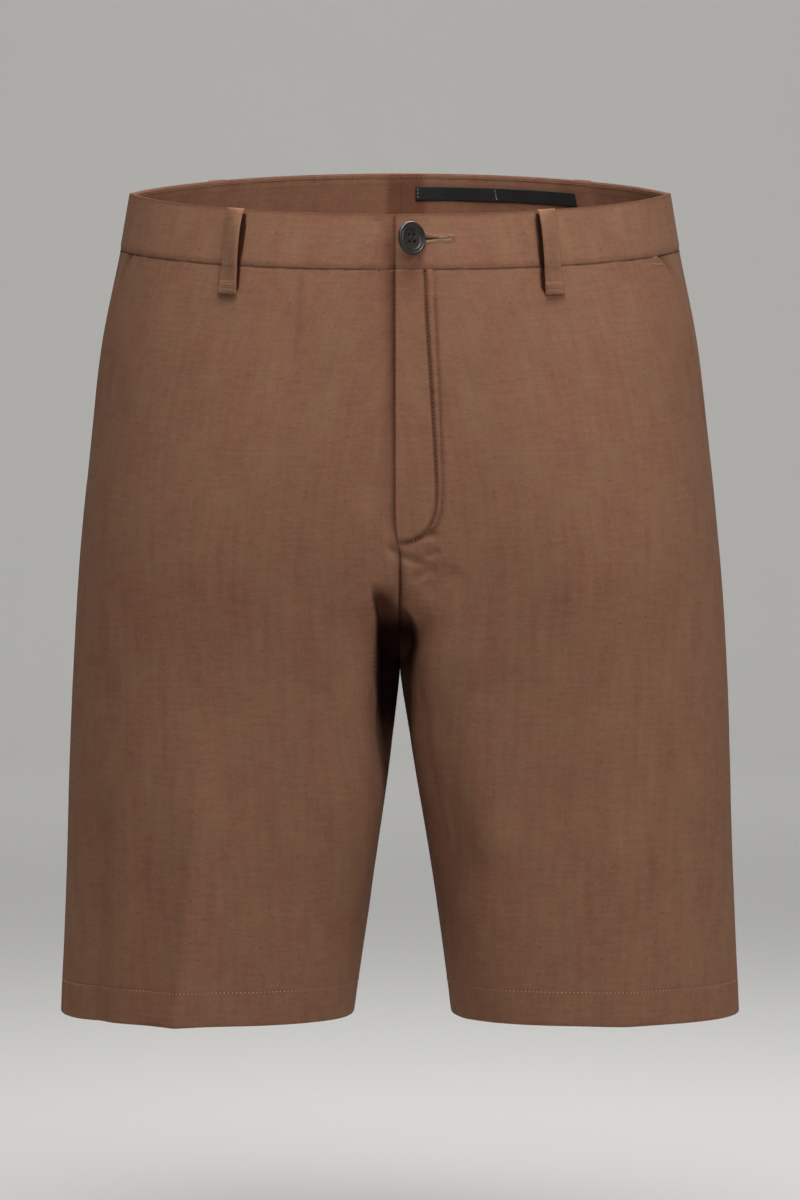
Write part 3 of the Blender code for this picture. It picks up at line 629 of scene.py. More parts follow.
def along_row(row, drop, centre):
    """Signed distance from a row of stitching on the left front, and how far along it the place is."""
    path = dense_row(row)
    spot = np.stack([np.broadcast_to(drop, centre.shape), centre], axis=-1)[..., None, :]
    start = path[:-1]
    line = path[1:] - start
    length = np.linalg.norm(line, axis=-1)
    away = spot - start
    share = np.clip((away * line).sum(-1) / length**2, 0.0, 1.0)
    gap = away - share[..., None] * line
    distance = np.linalg.norm(gap, axis=-1)
    nearest = distance.argmin(-1)
    turn = line[..., 0] * gap[..., 1] - line[..., 1] * gap[..., 0]
    sign = np.sign(np.take_along_axis(turn, nearest[..., None], -1)[..., 0])
    run = run_along(length)
    reach = run[nearest] + np.take_along_axis(share, nearest[..., None], -1)[..., 0] * length[nearest]
    return np.take_along_axis(distance, nearest[..., None], -1)[..., 0] * sign, reach


def dense_row(row, steps=60):
    """A row of stitching as points (drop, distance from the middle), joined by smooth cubic pieces."""
    knots = np.array(row) * CM
    step = np.linalg.norm(np.diff(knots, axis=0), axis=1)
    run = run_along(step)
    return cubic(knots, run, np.linspace(0.0, run[-1], steps))


def pocket_inset(drop, hand):
    """Distance from the side seam to the pocket's mouth, which curves in and then slants to that seam."""
    fall = np.clip((drop - BAND_SEAM) / (POCKET_BOTTOM - BAND_SEAM), 0.0, 1.0)
    corner = (POCKET_WIDTH - POCKET_SIDE) * np.exp(-fall * (POCKET_BOTTOM - BAND_SEAM) / POCKET_BEND)
    inset = np.where(fall < 1.0, POCKET_SIDE * (1.0 - fall**2) + corner, 0.0)
    return inset if hand > 0 else inset * POCKET_RIGHT_SHARE


def lap_dip(distance, depth):
    """How far the right side dips to pass under the left, by the distance along the girth."""
    return depth * smooth((distance + LAP_DIP_START) / LAP_DIP_WIDTH)


def pucker(along, distance, pitch, reach, seed):
    """Small gathers beside a seam: uneven waves along it that fade away from it."""
    place = np.stack([along / pitch, np.zeros_like(along), np.zeros_like(along)], axis=-1)
    return noise(place, 1.0, seed) * np.exp(-np.abs(distance) / reach)


# ---------------------------------------------------------------- meshes


def placed(name, data, place=(0.0, 0.0, 0.0), turn=(0.0, 0.0, 0.0)):
    """An object in the scene, at a place and turned by angles about the three axes."""
    made = bpy.data.objects.new(name, data)
    made.location = place
    made.rotation_euler = turn
    bpy.context.scene.collection.objects.link(made)
    return made


def new_piece(name, points, quads, finish, where=None, shade=None):
    """An object of these quads, ridden by the part's one body.

    where is each point's place on the cloth, and shade how strongly painted shade darkens its colour.
    """
    points = np.ascontiguousarray(points.reshape(-1, 3), dtype=np.float32)
    quads = np.ascontiguousarray(quads.reshape(-1, 4), dtype=np.int32)
    corners = points[quads].astype(float)
    volume = (corners[:, 0] * np.cross(corners[:, 1], corners[:, 2])).sum()
    volume += (corners[:, 0] * np.cross(corners[:, 2], corners[:, 3])).sum()
    if volume < 0:
        quads = np.ascontiguousarray(quads[:, ::-1])
    mesh = bpy.data.meshes.new(name)
    mesh.vertices.add(len(points))
    mesh.vertices.foreach_set("co", points.ravel())
    mesh.loops.add(quads.size)
    mesh.loops.foreach_set("vertex_index", quads.ravel())
    mesh.polygons.add(len(quads))
    mesh.polygons.foreach_set("loop_start", np.arange(0, quads.size, 4, dtype=np.int32))
    mesh.update(calc_edges=True)
    if where is not None:
        layer = mesh.uv_layers.new(name="cloth")
        flat = np.ascontiguousarray(where.reshape(-1, 2)[quads.ravel()], dtype=np.float32)
        layer.uv.foreach_set("vector", flat.ravel())
    if shade is not None:
        layer = mesh.attributes.new("shade", "FLOAT", "POINT")
        layer.data.foreach_set("value", shade.ravel().astype(np.float32))
    mesh.shade_smooth()
    mesh.materials.append(finish)
    made = placed(name, mesh)
    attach(made, "root")
    return made


def shell(name, outer, inner, where, finish, top=1.0, bottom=1.0, start=1.0, end=1.0, rings=3, shade=None):
    """A closed wall between two grids of points, whose rim is a half round or, at 0, flat.

    The rim runs along the grid's four sides. Its rings turn from the outer face to the inner one
    about the middle of the wall, and stand out past the edge by the side's roundness. shade is the
    painted shade, a pair, for the outer and the inner face.
    """
    rows, columns = outer.shape[:2]
    index = np.arange(rows * columns).reshape(rows, columns)
    quads = np.stack([index[:-1, :-1], index[1:, :-1], index[1:, 1:], index[:-1, 1:]], axis=-1)
    quads = quads.reshape(-1, 4)
    rim = np.concatenate([index[0, :-1], index[:-1, -1], index[-1, :0:-1], index[:0:-1, 0]])
    proud = np.zeros(outer.shape)

    def outward(edge, inside, roundness):
        line = edge - inside
        return roundness * line / np.linalg.norm(line, axis=-1, keepdims=True)

    proud[0] += outward(outer[0], outer[1], top)
    proud[-1] += outward(outer[-1], outer[-2], bottom)
    proud[:, 0] += outward(outer[:, 0], outer[:, 1], start)
    proud[:, -1] += outward(outer[:, -1], outer[:, -2], end)
    flat_outer = outer.reshape(-1, 3)
    flat_inner = inner.reshape(-1, 3)
    middle = (flat_outer[rim] + flat_inner[rim]) / 2
    half = (flat_outer[rim] - flat_inner[rim]) / 2
    stand = proud.reshape(-1, 3)[rim] * np.linalg.norm(half, axis=-1, keepdims=True)
    turns = np.linspace(0.0, math.pi, rings + 2)[1:-1, None, None]
    bend = middle + half * np.cos(turns) + stand * np.sin(turns)
    size = rows * columns
    around = np.arange(len(rim))
    loops = [rim, *(2 * size + len(rim) * ring + around for ring in range(rings)), rim + size]
    bands = []
    for one, other in zip(loops[:-1], loops[1:]):
        bands.append(np.stack([one, np.roll(one, -1), np.roll(other, -1), other], axis=-1))
    faces = np.concatenate([quads, quads[:, ::-1] + size, *bands])
    points = np.concatenate([flat_outer, flat_inner, bend.reshape(-1, 3)])
    flat = where.reshape(-1, 2)
    spread = np.concatenate([flat, flat, *([flat[rim]] * rings)])
    if shade is not None:
        face, back = (np.broadcast_to(side, (rows, columns)).ravel() for side in shade)
        shade = np.concatenate([face, back, *([face[rim]] * rings)])
    return new_piece(name, points, faces, finish, spread, shade)


STITCH_STEPS = np.array([-0.98, -0.6, 0.0, 0.6, 0.98])
STITCH_SIDES = 6


def capsules(centres, along, out, length, width, bend):
    """Rows of points and quads of small rods with round ends, bowed so that their ends sink.

    At step s from -1 to 1 a rod's radius is the root of 1 - s to the fourth, and its centre line
    stands out by the bend times 1 - s squared.
    """
    count = len(centres)
    length = np.broadcast_to(length, count)[:, None, None, None]
    across = np.cross(out, along)
    across /= np.linalg.norm(across, axis=-1, keepdims=True)
    steps = STITCH_STEPS[None, :, None, None]
    angle = np.linspace(0.0, 2 * math.pi, STITCH_SIDES, endpoint=False)[None, None, :, None]
    radius = width / 2 * np.sqrt(1.0 - np.abs(steps) ** 4 * 0.92)
    frame_along = along[:, None, None, :]
    frame_out = out[:, None, None, :]
    frame_across = across[:, None, None, :]
    points = (
        centres[:, None, None, :]
        + frame_along * steps * length / 2
        + frame_out * (bend * (1.0 - steps**2) + radius * np.sin(angle))
        + frame_across * radius * np.cos(angle)
    )
    rings = len(STITCH_STEPS)
    index = np.arange(rings * STITCH_SIDES).reshape(rings, STITCH_SIDES)
    beside = np.roll(index, -1, axis=1)
    quads = np.stack([index[:-1], index[1:], beside[1:], beside[:-1]], axis=-1).reshape(-1, 4)
    caps = []
    for ring, order in ((index[0], 1), (index[-1], -1)):
        caps.append(ring[[0, 1, 2, 3]][::order])
        caps.append(ring[[0, 3, 4, 5]][::order])
    quads = np.concatenate([quads, np.array(caps)])
    faces = quads[None] + (np.arange(count) * rings * STITCH_SIDES)[:, None, None]
    return points.reshape(-1, 3), faces.reshape(-1, 4)


class Bundle:
    """Points and quads of many small parts, gathered into one piece."""

    def __init__(self):
        self.points = []
        self.quads = []
        self.count = 0

    def add(self, points, quads):
        self.points.append(points)
        self.quads.append(quads + self.count)
        self.count += len(points)

    def piece(self, name, finish):
        return new_piece(name, np.concatenate(self.points), np.concatenate(self.quads), finish)


def cloth_line(drop, share, hand, height):
    """Points and normals along a line on the cloth, given as drops and shares."""
    spots = places(np.asarray(drop), np.asarray(share)[:, None], hand)
    return at_height(spots, np.broadcast_to(height, len(drop))[:, None])[:, 0], spots.out[:, 0]


def steps_along(points, out, pitch, inset=0.0):
    """Evenly spaced places along a line of points: their centres, directions and normals."""
    step = np.linalg.norm(np.diff(points, axis=0), axis=1)
    run = run_along(step)
    span = run[-1] - 2 * inset
    count = max(int(round(span / pitch)), 1)
    wanted = inset + (np.arange(count) + 0.5) * span / count
    centre = np.stack([np.interp(wanted, run, points[:, axis]) for axis in range(3)], axis=-1)
    normal = np.stack([np.interp(wanted, run, out[:, axis]) for axis in range(3)], axis=-1)
    ahead = np.stack([np.interp(wanted + pitch / 3, run, points[:, axis]) for axis in range(3)], -1)
    behind = np.stack([np.interp(wanted - pitch / 3, run, points[:, axis]) for axis in range(3)], -1)
    along = ahead - behind
    along /= np.linalg.norm(along, axis=-1, keepdims=True)
    normal /= np.linalg.norm(normal, axis=-1, keepdims=True)
    return centre, along, normal


def sew(bundle, line, pitch, width, bend=0.25 * MM, share=0.72, inset=0.0):
    """A row of stitches along a line, each a share of its pitch long."""
    centre, along, out = steps_along(*line, pitch, inset)
    bundle.add(*capsules(centre, along, out, pitch * share, width, bend))


def prick(bundle, line, pitch, width, inset=0.0):
    """Painted shadows of needle holes between the stitches of a line: flat dark beads in the cloth."""
    centre, along, out = steps_along(*line, pitch, inset)
    centre = centre - along * pitch / 2
    bundle.add(*capsules(centre, along, out, width * 1.2, width, 0.0))


# ---------------------------------------------------------------- materials


def math_node(operation, reflected=False):
    """A method of Signal that adds a Math node, with its operands swapped where it is reflected."""

    def method(self, *others):
        values = (*others, self) if reflected else (self, *others)
        return self.recipe.node("ShaderNodeMath", {"operation": operation}, dict(enumerate(values)))

    return method


class Signal:
    """A value in a material: an output socket, with arithmetic that adds Math nodes."""

    def __init__(self, recipe, socket):
        self.recipe = recipe
        self.socket = socket

    __add__ = math_node("ADD")
    __radd__ = math_node("ADD", reflected=True)
    __sub__ = math_node("SUBTRACT")
    __rsub__ = math_node("SUBTRACT", reflected=True)
    __mul__ = math_node("MULTIPLY")
    __rmul__ = math_node("MULTIPLY", reflected=True)
    __abs__ = math_node("ABSOLUTE")
    sine = math_node("SINE")
    larger = math_node("MAXIMUM")


class Recipe:
    """A material and its nodes."""

    def __init__(self, name):
        self.material = bpy.data.materials.new(name)
        self.material.use_nodes = True
        self.tree = self.material.node_tree
        self.shader = self.tree.nodes["Principled BSDF"]

    def node(self, kind, settings, inputs, output=0):
        """Adds a node: its settings, then the values or signals of its sockets."""
        made = self.tree.nodes.new(kind)
        for key, value in settings.items():
            if key == "stops":
                ramp = made.color_ramp.elements
                for element, (place, tone) in zip(ramp, value):
                    element.position = place
                    element.color = (tone, tone, tone, 1.0)
            else:
                setattr(made, key, value)
        for key, value in inputs.items():
            self.feed(made.inputs[key], value)
        return Signal(self, made.outputs[output])

    def feed(self, socket, value):
        if isinstance(value, Signal):
            self.tree.links.new(value.socket, socket)
        else:
            socket.default_value = value

    def surface(self, **inputs):
        """Feeds the shader's sockets, named with underscores for their spaces."""
        for key, value in inputs.items():
            self.feed(self.shader.inputs[key.replace("_", " ")], value)
        return self.material

    def place(self, x, y, z=0.0):
        return self.node("ShaderNodeCombineXYZ", {}, {0: x, 1: y, 2: z})

    def parts(self, vector):
        split = self.node("ShaderNodeSeparateXYZ", {}, {0: vector}).socket.node
        return [Signal(self, output) for output in split.outputs]

    def cloud(self, axes, grains, detail=2.0, roughness=0.5):
        """Soft noise around 0, from about -0.5 to 0.5, with so many grains a metre along each axis."""
        place = self.place(*(axis * grain for axis, grain in zip(axes, grains)), *grains[len(axes) :])
        settings = {"noise_dimensions": "3D"}
        inputs = {"Vector": place, "Scale": 1.0, "Detail": detail, "Roughness": roughness}
        return self.node("ShaderNodeTexNoise", settings, inputs) - 0.5

    def blend(self, share, one, other):
        """A colour between two, by a share from 0 to 1."""
        inputs = {"Factor": share, 6: one, 7: other}
        settings = {"data_type": "RGBA", "clamp_factor": True}
        return self.node("ShaderNodeMix", settings, inputs, output=2)

    def shaded(self, colour, tone):
        """A colour made lighter or darker by a factor."""
        settings = {"operation": "SCALE"}
        return self.node("ShaderNodeVectorMath", settings, {0: colour, "Scale": tone})

    def bump(self, height, distance, strength=1.0):
        inputs = {"Height": height, "Distance": distance, "Strength": strength}
        return self.node("ShaderNodeBump", {}, inputs)


def finish_named(name, make):
    """The finish of this name, made on first use."""
    return bpy.data.materials.get(name) or make(name)


def linen(name):
    """Plain weave of uneven threads: slubs along warp and weft, a mottle, a bump of the threads, and painted
    shade.

    A thread's height over the cloth is the size of a sine across it, and the thread that lies on top
    alternates with the product of both sines.
    """
    options = bpy.context.scene.shorts_sizes
    tints = bpy.context.scene.shorts_colours
    recipe = Recipe(name)
    flat = recipe.parts(recipe.node("ShaderNodeUVMap", {"uv_map": "cloth"}, {}))[:2]
    across, down = flat
    pitch = options.thread_pitch
    sway = recipe.cloud(flat, (300.0, 80.0, 17.0)) * (1.4 * pitch)
    dip = recipe.cloud(flat, (80.0, 300.0, 19.0)) * (1.4 * pitch)
    warp_slub = recipe.cloud(flat, (1 / (1.5 * pitch), 1 / (22 * pitch)))
    weft_slub = recipe.cloud(flat, (1 / (18 * pitch), 1 / (1.5 * pitch), 7.0))
    light_fleck = recipe.cloud(flat, (330.0, 1500.0, 23.0), 1.0) - 0.15
    dark_fleck = recipe.cloud(flat, (300.0, 1350.0, 29.0), 1.0) - 0.15
    stem = recipe.cloud(flat, (1400.0, 240.0, 31.0), 1.0) - 0.19
    flecks = light_fleck.larger(0.0) * 0.9 + stem.larger(0.0) * 0.7 - dark_fleck.larger(0.0) * 1.5
    grain = recipe.cloud(flat, (900.0, 900.0, 37.0), 2.0)
    speckle = recipe.cloud(flat, (420.0, 520.0, 43.0), 1.0)
    mottle = recipe.cloud(flat, (130.0, 110.0, 11.0), 3.0, 0.6)
    patch = recipe.cloud(flat, (70.0, 36.0, 47.0), 1.0)
    broad = recipe.cloud(flat, (40.0, 15.0, 13.0), 1.5)
    streak = recipe.cloud(flat, (240.0, 22.0, 41.0), 2.0)
    dash = recipe.cloud(flat, (60.0, 420.0, 53.0), 2.0)
    tone = (
        1.0
        + options.slub * (warp_slub * 0.45 + weft_slub * 0.5 + grain * 0.5 + speckle * 0.8 + flecks * 8.0)
        + options.mottle * (mottle * 1.8 + patch * 1.4 + broad * 1.9 + streak * 1.2 + dash * 1.2)
    )
    hue = broad * 1.8 + mottle * 1.8 + patch * 0.8 + 0.5
    cloth = recipe.blend(hue, (*tints.cloth_warm, 1.0), (*tints.cloth_cool, 1.0))
    # Painted shade: the shade attribute blends the colour towards the shaded hue and darkens it
    deep = recipe.node("ShaderNodeAttribute", {"attribute_name": "shade"}, {}, output=2)
    cloth = recipe.blend(deep, cloth, (*tints.cloth_shaded, 1.0))
    colour = recipe.shaded(cloth, tone * (1.0 - deep * options.hollow_shade))
    sine_across = ((across + sway) * (math.pi / pitch)).sine()
    sine_down = ((down + dip) * (math.pi / pitch)).sine()
    over = sine_across * sine_down
    warp = abs(sine_across) * (over * 0.5 + 0.5)
    weft = abs(sine_down) * (0.5 - over * 0.5)
    height = warp.larger(weft) + warp_slub * 1.2 + weft_slub * 1.4 + mottle * 1.0 + flecks * 2.0
    rough = 0.86 - mottle * 0.15
    return recipe.surface(
        Base_Color=colour,
        Roughness=rough,
        Normal=recipe.bump(height, 0.10 * MM, options.weave_relief),
        Sheen_Weight=0.015,
        Sheen_Roughness=0.6,
        Specular_IOR_Level=0.05,
    )


# The colour and the roughness of each thread
THREADS = {
    "brown sewing thread": ("thread", 0.75),
    "light sewing thread": ("light_thread", 0.75),
    "tack thread": ("hole_thread", 0.75),
    "buttonhole thread": ("hole_thread", 0.75),
    "dark thread": ("dark_thread", 0.75),
    # Not a thread: the painted shadow in the needle holes and in the buttonhole's slit
    "needle hole": ("needle_hole", 0.95),
}


def thread(name):
    """Sewing thread: a soft colour with fine uneven darker fibres."""
    key, roughness = THREADS[name]
    recipe = Recipe(name)
    solid = recipe.parts(recipe.node("ShaderNodeTexCoord", {}, {}, output=3))
    fibre = recipe.cloud(solid, (4000.0, 4000.0, 4000.0), 2.0)
    broad = recipe.cloud(solid, (300.0, 300.0, 300.0), 1.0)
    tone = 1.0 + fibre * 0.35 + broad * 0.35
    return recipe.surface(
        Base_Color=recipe.shaded(tuple(getattr(bpy.context.scene.shorts_colours, key)), tone),
        Roughness=roughness,
        Normal=recipe.bump(fibre, 0.05 * MM, 0.7),
        Sheen_Weight=0.1,
        Specular_IOR_Level=0.3,
    )


def woven_tape(name):
    """Satin tape: fine ribs across it and a slightly uneven black."""
    tints = bpy.context.scene.shorts_colours
    recipe = Recipe(name)
    flat = recipe.parts(recipe.node("ShaderNodeUVMap", {"uv_map": "cloth"}, {}))[:2]
    across, down = flat
    rib = abs((down * (math.pi / (0.35 * MM))).sine())
    cord = abs((across * (math.pi / (0.28 * MM))).sine())
    wear = recipe.cloud(flat, (900.0, 900.0), 3.0)
    tone = 1.0 + rib * 0.25 + wear * 0.5
    return recipe.surface(
        Base_Color=recipe.shaded(tints.tape, tone),
        Roughness=0.62 + wear * 0.2,
        Normal=recipe.bump(rib * 0.7 + cord * 0.5 + wear * 0.5, 0.06 * MM, 0.8),
        Sheen_Weight=0.1,
        Specular_IOR_Level=0.35,
    )


def horn_resin(name):
    """Polished dark resin, clouded like horn, with fine turning lines."""
    tints = bpy.context.scene.shorts_colours
    recipe = Recipe(name)
    solid = recipe.parts(recipe.node("ShaderNodeTexCoord", {}, {}, output=3))
    cloud = recipe.cloud(solid, (260.0, 260.0, 90.0), 4.0, 0.6)
    speck = recipe.cloud(solid, (1800.0, 1800.0, 1800.0), 2.0)
    share = cloud * 2.2 + 0.45
    colour = recipe.blend(share, (*tints.button, 1.0), (*tints.button_light, 1.0))
    return recipe.surface(
        Base_Color=recipe.shaded(colour, 1.0 + speck * 0.3),
        Roughness=0.36 + speck * 0.15 + cloud * 0.1,
        Normal=recipe.bump(speck, 0.03 * MM, 0.5),
        Specular_IOR_Level=0.4,
        Coat_Weight=0.12,
        Coat_Roughness=0.15,
    )


def studio_paper(name):
    """Seamless pale paper with a barely uneven tone."""
    tints = bpy.context.scene.shorts_colours
    recipe = Recipe(name)
    solid = recipe.parts(recipe.node("ShaderNodeTexCoord", {}, {}, output=3))
    tone = 1.0 + recipe.cloud(solid, (1.5, 1.5, 1.5), 2.0) * 0.02
    paper = recipe.shaded(tuple(tints.backdrop), tone)
    return recipe.surface(Base_Color=paper, Roughness=0.95, Specular_IOR_Level=0.1)


# ---------------------------------------------------------------- pieces


def declare(node, grid):
    """Hides the imported node that a piece of cloth stands for.

    grid is not used.
    """
    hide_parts(node)


def panel_drops(scale):
    """Drops of a panel's rows: close together at its seams, its hem and the gathers of the crotch."""
    return spaced(
        (BAND_SEAM + JOIN_GAP / 2, 0.45 * MM),
        (BAND_SEAM + 3 * MM, 1.1 * MM * scale),
        (18.0 * CM, 2.6 * MM * scale),
        (18.8 * CM, 1.4 * MM * scale),
        (24.0 * CM, 1.4 * MM * scale),
        (26.0 * CM, 2.9 * MM * scale),
        (46.4 * CM, 2.9 * MM * scale),
        (HEM_FOLD - 3 * MM, 0.8 * MM),
        (HEM_FOLD + 3 * MM, 0.8 * MM),
        (HEM_EDGE - HEM_WALL / 2, 0.9 * MM),
    )


def panel_wall(drop):
    """Thickness of a panel's wall at each drop: doubled below the raw edge of the turned-up hem."""
    return PANEL_WALL + (HEM_WALL - PANEL_WALL) * smooth((drop - HEM_FOLD + 3 * MM) / (0.8 * MM))


def panel_inside(spots, height, dip=0.0):
    """A panel's inner face, which follows the outer one's relief only in part."""
    relief = np.minimum(height, RELIEF_MOST) * RELIEF_SHARE
    return at_height(spots, relief - dip - panel_wall(spots.drop[:, :1]))


def panel_seams(spots, options):
    """Height that a panel's outer face takes from its band seam, side seam, centre seam and hem."""
    below_band = spots.drop - BAND_SEAM
    past_hem = spots.drop - HEM_FOLD
    height = -options.seam_groove * 0.45 * bell(below_band, 0.5 * MM)
    height = height + options.pucker * 1.0 * pucker(spots.side, below_band, 5.5 * MM, 6 * MM, 31)
    height -= 0.20 * MM * bell(past_hem, 0.8 * MM)
    height += options.pucker * 0.9 * pucker(spots.side, past_hem, 6.5 * MM, 7 * MM, 32)
    height += 0.08 * MM * smooth(past_hem / (4 * MM))
    joined = smooth((spots.drop - POCKET_BOTTOM) / (1 * CM)) if spots.share[0, 0] < 1.0 else 1.0
    side = -options.seam_groove * np.exp(-np.abs(spots.side) / (1.1 * MM))
    side += options.pucker * 0.8 * pucker(spots.drop + 0 * spots.side, spots.side, 9 * MM, 6 * MM, 33)
    height += joined * side
    start = FLY_END - 1.0 * CM if spots.share[0, 0] < 1.0 else 0.0
    middle = -options.seam_groove * np.exp(-spots.centre / (1.1 * MM))
    middle += options.pucker * pucker(spots.drop + 0 * spots.side, spots.centre, 8 * MM, 6 * MM, 34)
    height += middle * smooth((spots.drop - start) / (1 * CM))
    if spots.share[0, 0] < 1.0:
        below_fly = past(spots.drop, 20.3, 2.4) * (spots.drop < CROTCH)
        height -= 1.8 * MM * below_fly * np.exp(-spots.centre / (1.2 * MM))
    return height


def fly_heights(spots, options):
    """The left front's raised fly strip, with a groove along each row of its curved stitching."""
    inner, _ = along_row(INNER_FLY_ROW, spots.drop, spots.centre)
    outer, reach = along_row(OUTER_FLY_ROW, spots.drop, spots.centre)
    inside = smooth(0.5 - outer / (2.0 * MM))
    near = smooth((3.0 * CM - spots.centre) / (0.3 * CM)) * smooth((21.8 * CM - spots.drop) / (0.5 * CM))
    height = 0.55 * MM * inside * near
    height -= options.seam_groove * 2.1 * bell(inner + 0.1 * MM, 0.85 * MM) * near
    height -= options.seam_groove * 1.0 * bell(outer, 0.70 * MM) * near
    height += 0.45 * MM * bell((inner + outer) / 2, 1.1 * MM) * near
    wave = pucker(reach, (inner + outer) / 2, 4.0 * MM, 3.5 * MM, 35)
    height += options.pucker * 1.1 * wave * near
    return height


def make_front(hand, finish):
    side_name = side_of(hand)
    options = bpy.context.scene.shorts_sizes
    drop = panel_drops(1.0)
    front = girth(drop, hand)[0]
    start = np.where(drop >= CROTCH, JOIN_GAP / 2, 0.0)[:, None] / front
    inset = np.maximum(pocket_inset(drop, hand), JOIN_GAP / 2)[:, None]
    end = 1.0 - inset / front
    columns = spaced(
        (0.0, 0.0020), (0.09, 0.0034), (0.18, 0.0078), (0.39, 0.0078), (0.42, 0.0045), (0.52, 0.0045),
        (0.55, 0.0080), (0.82, 0.0080), (0.95, 0.0055), (1.0, 0.0020),
    )
    spots = places(drop, start + (end - start) * columns, hand)
    height = panel_seams(spots, options)
    dip = 0.0
    mouth = (end - spots.share) * front
    open_mouth = smooth((POCKET_BOTTOM - spots.drop) / (1.5 * CM))
    height += 0.22 * MM * bell(mouth - 1.2 * MM, 1.2 * MM) * open_mouth
    if hand > 0:
        height += fly_heights(spots, options)
        gape = bell(spots.drop - 8.5 * CM, 3.2 * CM)
        height += 1.3 * MM * gape * np.exp(-mouth / (9 * MM)) * open_mouth
    else:
        above = 1.0 - smooth((spots.drop - FLY_END + FLY_OFFSET_FADE) / FLY_OFFSET_FADE)
        dip = lap_dip(-spots.centre, FLY_DIP) * above
        gape = bell(spots.drop - 8.0 * CM, 3.0 * CM)
        height += 0.4 * MM * gape * np.exp(-mouth / (8 * MM)) * open_mouth
    outer = at_height(spots, height - dip)
    inner = panel_inside(spots, height, dip)
    # Painted shade on the outer face: between the legs, beside the fly and the loops, and along the band seam
    seam = seam_shade(spots, spots.drop - BAND_SEAM)
    piece = shell(
        f"front_{side_name}_cloth",
        outer,
        inner,
        cloth_map(spots),
        finish,
        top=0.2,
        start=0.5,
        end=0.8,
        shade=(np.maximum.reduce([hollow_shade(spots), fly_shade(spots), loop_shade(spots), seam]), 0.0),
    )
    declare(f"front_{side_name}", outer)
    return piece


def make_back(hand, finish):
    side_name = side_of(hand)
    options = bpy.context.scene.shorts_sizes
    drop = panel_drops(1.25)
    back = girth(drop, hand)[1]
    start = 1.0 + JOIN_GAP / 2 / back
    end = 2.0 - np.where(drop >= CROTCH, JOIN_GAP / 2, 0.0)[:, None] / back
    columns = spaced((0.0, 0.0022), (0.03, 0.0080), (0.88, 0.0090), (0.97, 0.0050), (1.0, 0.0022))
    spots = places(drop, start + (end - start) * columns, hand)
    height = panel_seams(spots, options)
    outer = at_height(spots, height)
    inner = panel_inside(spots, height)
    # Painted shade on the outer face: between the legs and along the waistband's seam
    seam = seam_shade(spots, spots.drop - BAND_SEAM)
    piece = shell(
        f"back_{side_name}_cloth",
        outer,
        inner,
        cloth_map(spots),
        finish,
        top=0.2,
        start=0.3,
        end=0.3,
        shade=(np.maximum(hollow_shade(spots), seam), 0.0),
    )
    declare(f"back_{side_name}", outer)
    return piece


def make_facing(hand, finish):
    """The strip behind a pocket's mouth, under the front and then level with the back."""
    side_name = side_of(hand)
    options = bpy.context.scene.shorts_sizes
    drop = spaced(
        (BAND_SEAM + JOIN_GAP / 2, 0.5 * MM), (BAND_SEAM + 4 * MM, 1.8 * MM), (FACING_BOTTOM, 2.0 * MM)
    )
    front = girth(drop, hand)[0]
    mouth = 1.0 - pocket_inset(drop, hand)[:, None] / front
    start = mouth - POCKET_UNDERLAP / front
    end = 1.0 - JOIN_GAP / 2 / front
    spots = places(drop, start + (end - start) * np.linspace(0.0, 1.0, 34), hand)
    past = (spots.share - mouth) * front
    rise = smooth((past - POCKET_STEP) / POCKET_RISE)
    low = -(PANEL_WALL + 2 * SEAM_GAP) * (1.0 - rise)
    seams = panel_seams(spots, options) * rise
    side = -options.seam_groove * np.exp(-np.abs(spots.side) / (1.1 * MM)) * rise
    outer = at_height(spots, low + seams + side)
    inner = at_height(spots, low - FACING_WALL)
    name = f"pocket_facing_{side_name}"
    piece = shell(f"{name}_cloth", outer, inner, cloth_map(spots), finish, end=0.3)
    declare(name, outer)
    return piece


def make_shield(finish):
    """The underlap behind the fly's edge, reaching from just right of it to under the left front."""
    drop = np.linspace(BAND_SEAM + JOIN_GAP / 2, SHIELD_BOTTOM, 60)
    height = -(FLY_DIP + PANEL_WALL + SEAM_GAP)
    down = np.linspace(0.0, SHIELD_END, len(drop))[:, None]
    rounded = np.sqrt(1.0 - down**SHIELD_END_SQUARENESS)
    grids = []
    for hand, reach, columns in ((1, UNDERLAP * rounded, 22), (-1, SHIELD_REACH, 8)):
        share = reach / girth(drop, hand)[0] * np.linspace(1.0, 0.0, columns)
        spots = places(drop, share, hand)
        where = cloth_map(spots)
        if hand < 0:
            where[..., 0] = where[..., 0].min() * 2 - where[..., 0]
        faces = [at_height(spots, height), at_height(spots, height - SHIELD_WALL), where]
        grids.append(faces if hand > 0 else [face[:, -2::-1] for face in faces])
    outer, inner, where = (np.concatenate(pair, axis=1) for pair in zip(*grids))
    piece = shell("fly_shield_cloth", outer, inner, where, finish)
    declare("fly_shield", outer)
    return piece


def band_drops():
    return spaced(
        (BAND_WALL / 2, 0.6 * MM),
        (0.9 * CM, 0.9 * MM),
        (1.2 * CM, 0.55 * MM),
        (2.0 * CM, 0.55 * MM),
        (2.4 * CM, 1.1 * MM),
        (3.2 * CM, 0.8 * MM),
        (BAND_SEAM - JOIN_GAP / 2, 0.35 * MM),
    )


# The buttonhole's thread rows as points (distance from the middle, drop), in centimetres: along the
# upper lip, round the eye and back along the lower lip.
HOLE_LINE = (
    (1.00, 1.24), (1.68, 1.34), (2.15, 1.48), (2.50, 1.56), (2.72, 1.54), (2.88, 1.45), (3.02, 1.47),
    (3.10, 1.58), (3.05, 1.70), (2.90, 1.76), (2.72, 1.74), (2.50, 1.70), (2.23, 1.75), (1.92, 1.82),
    (1.00, 1.96),
)
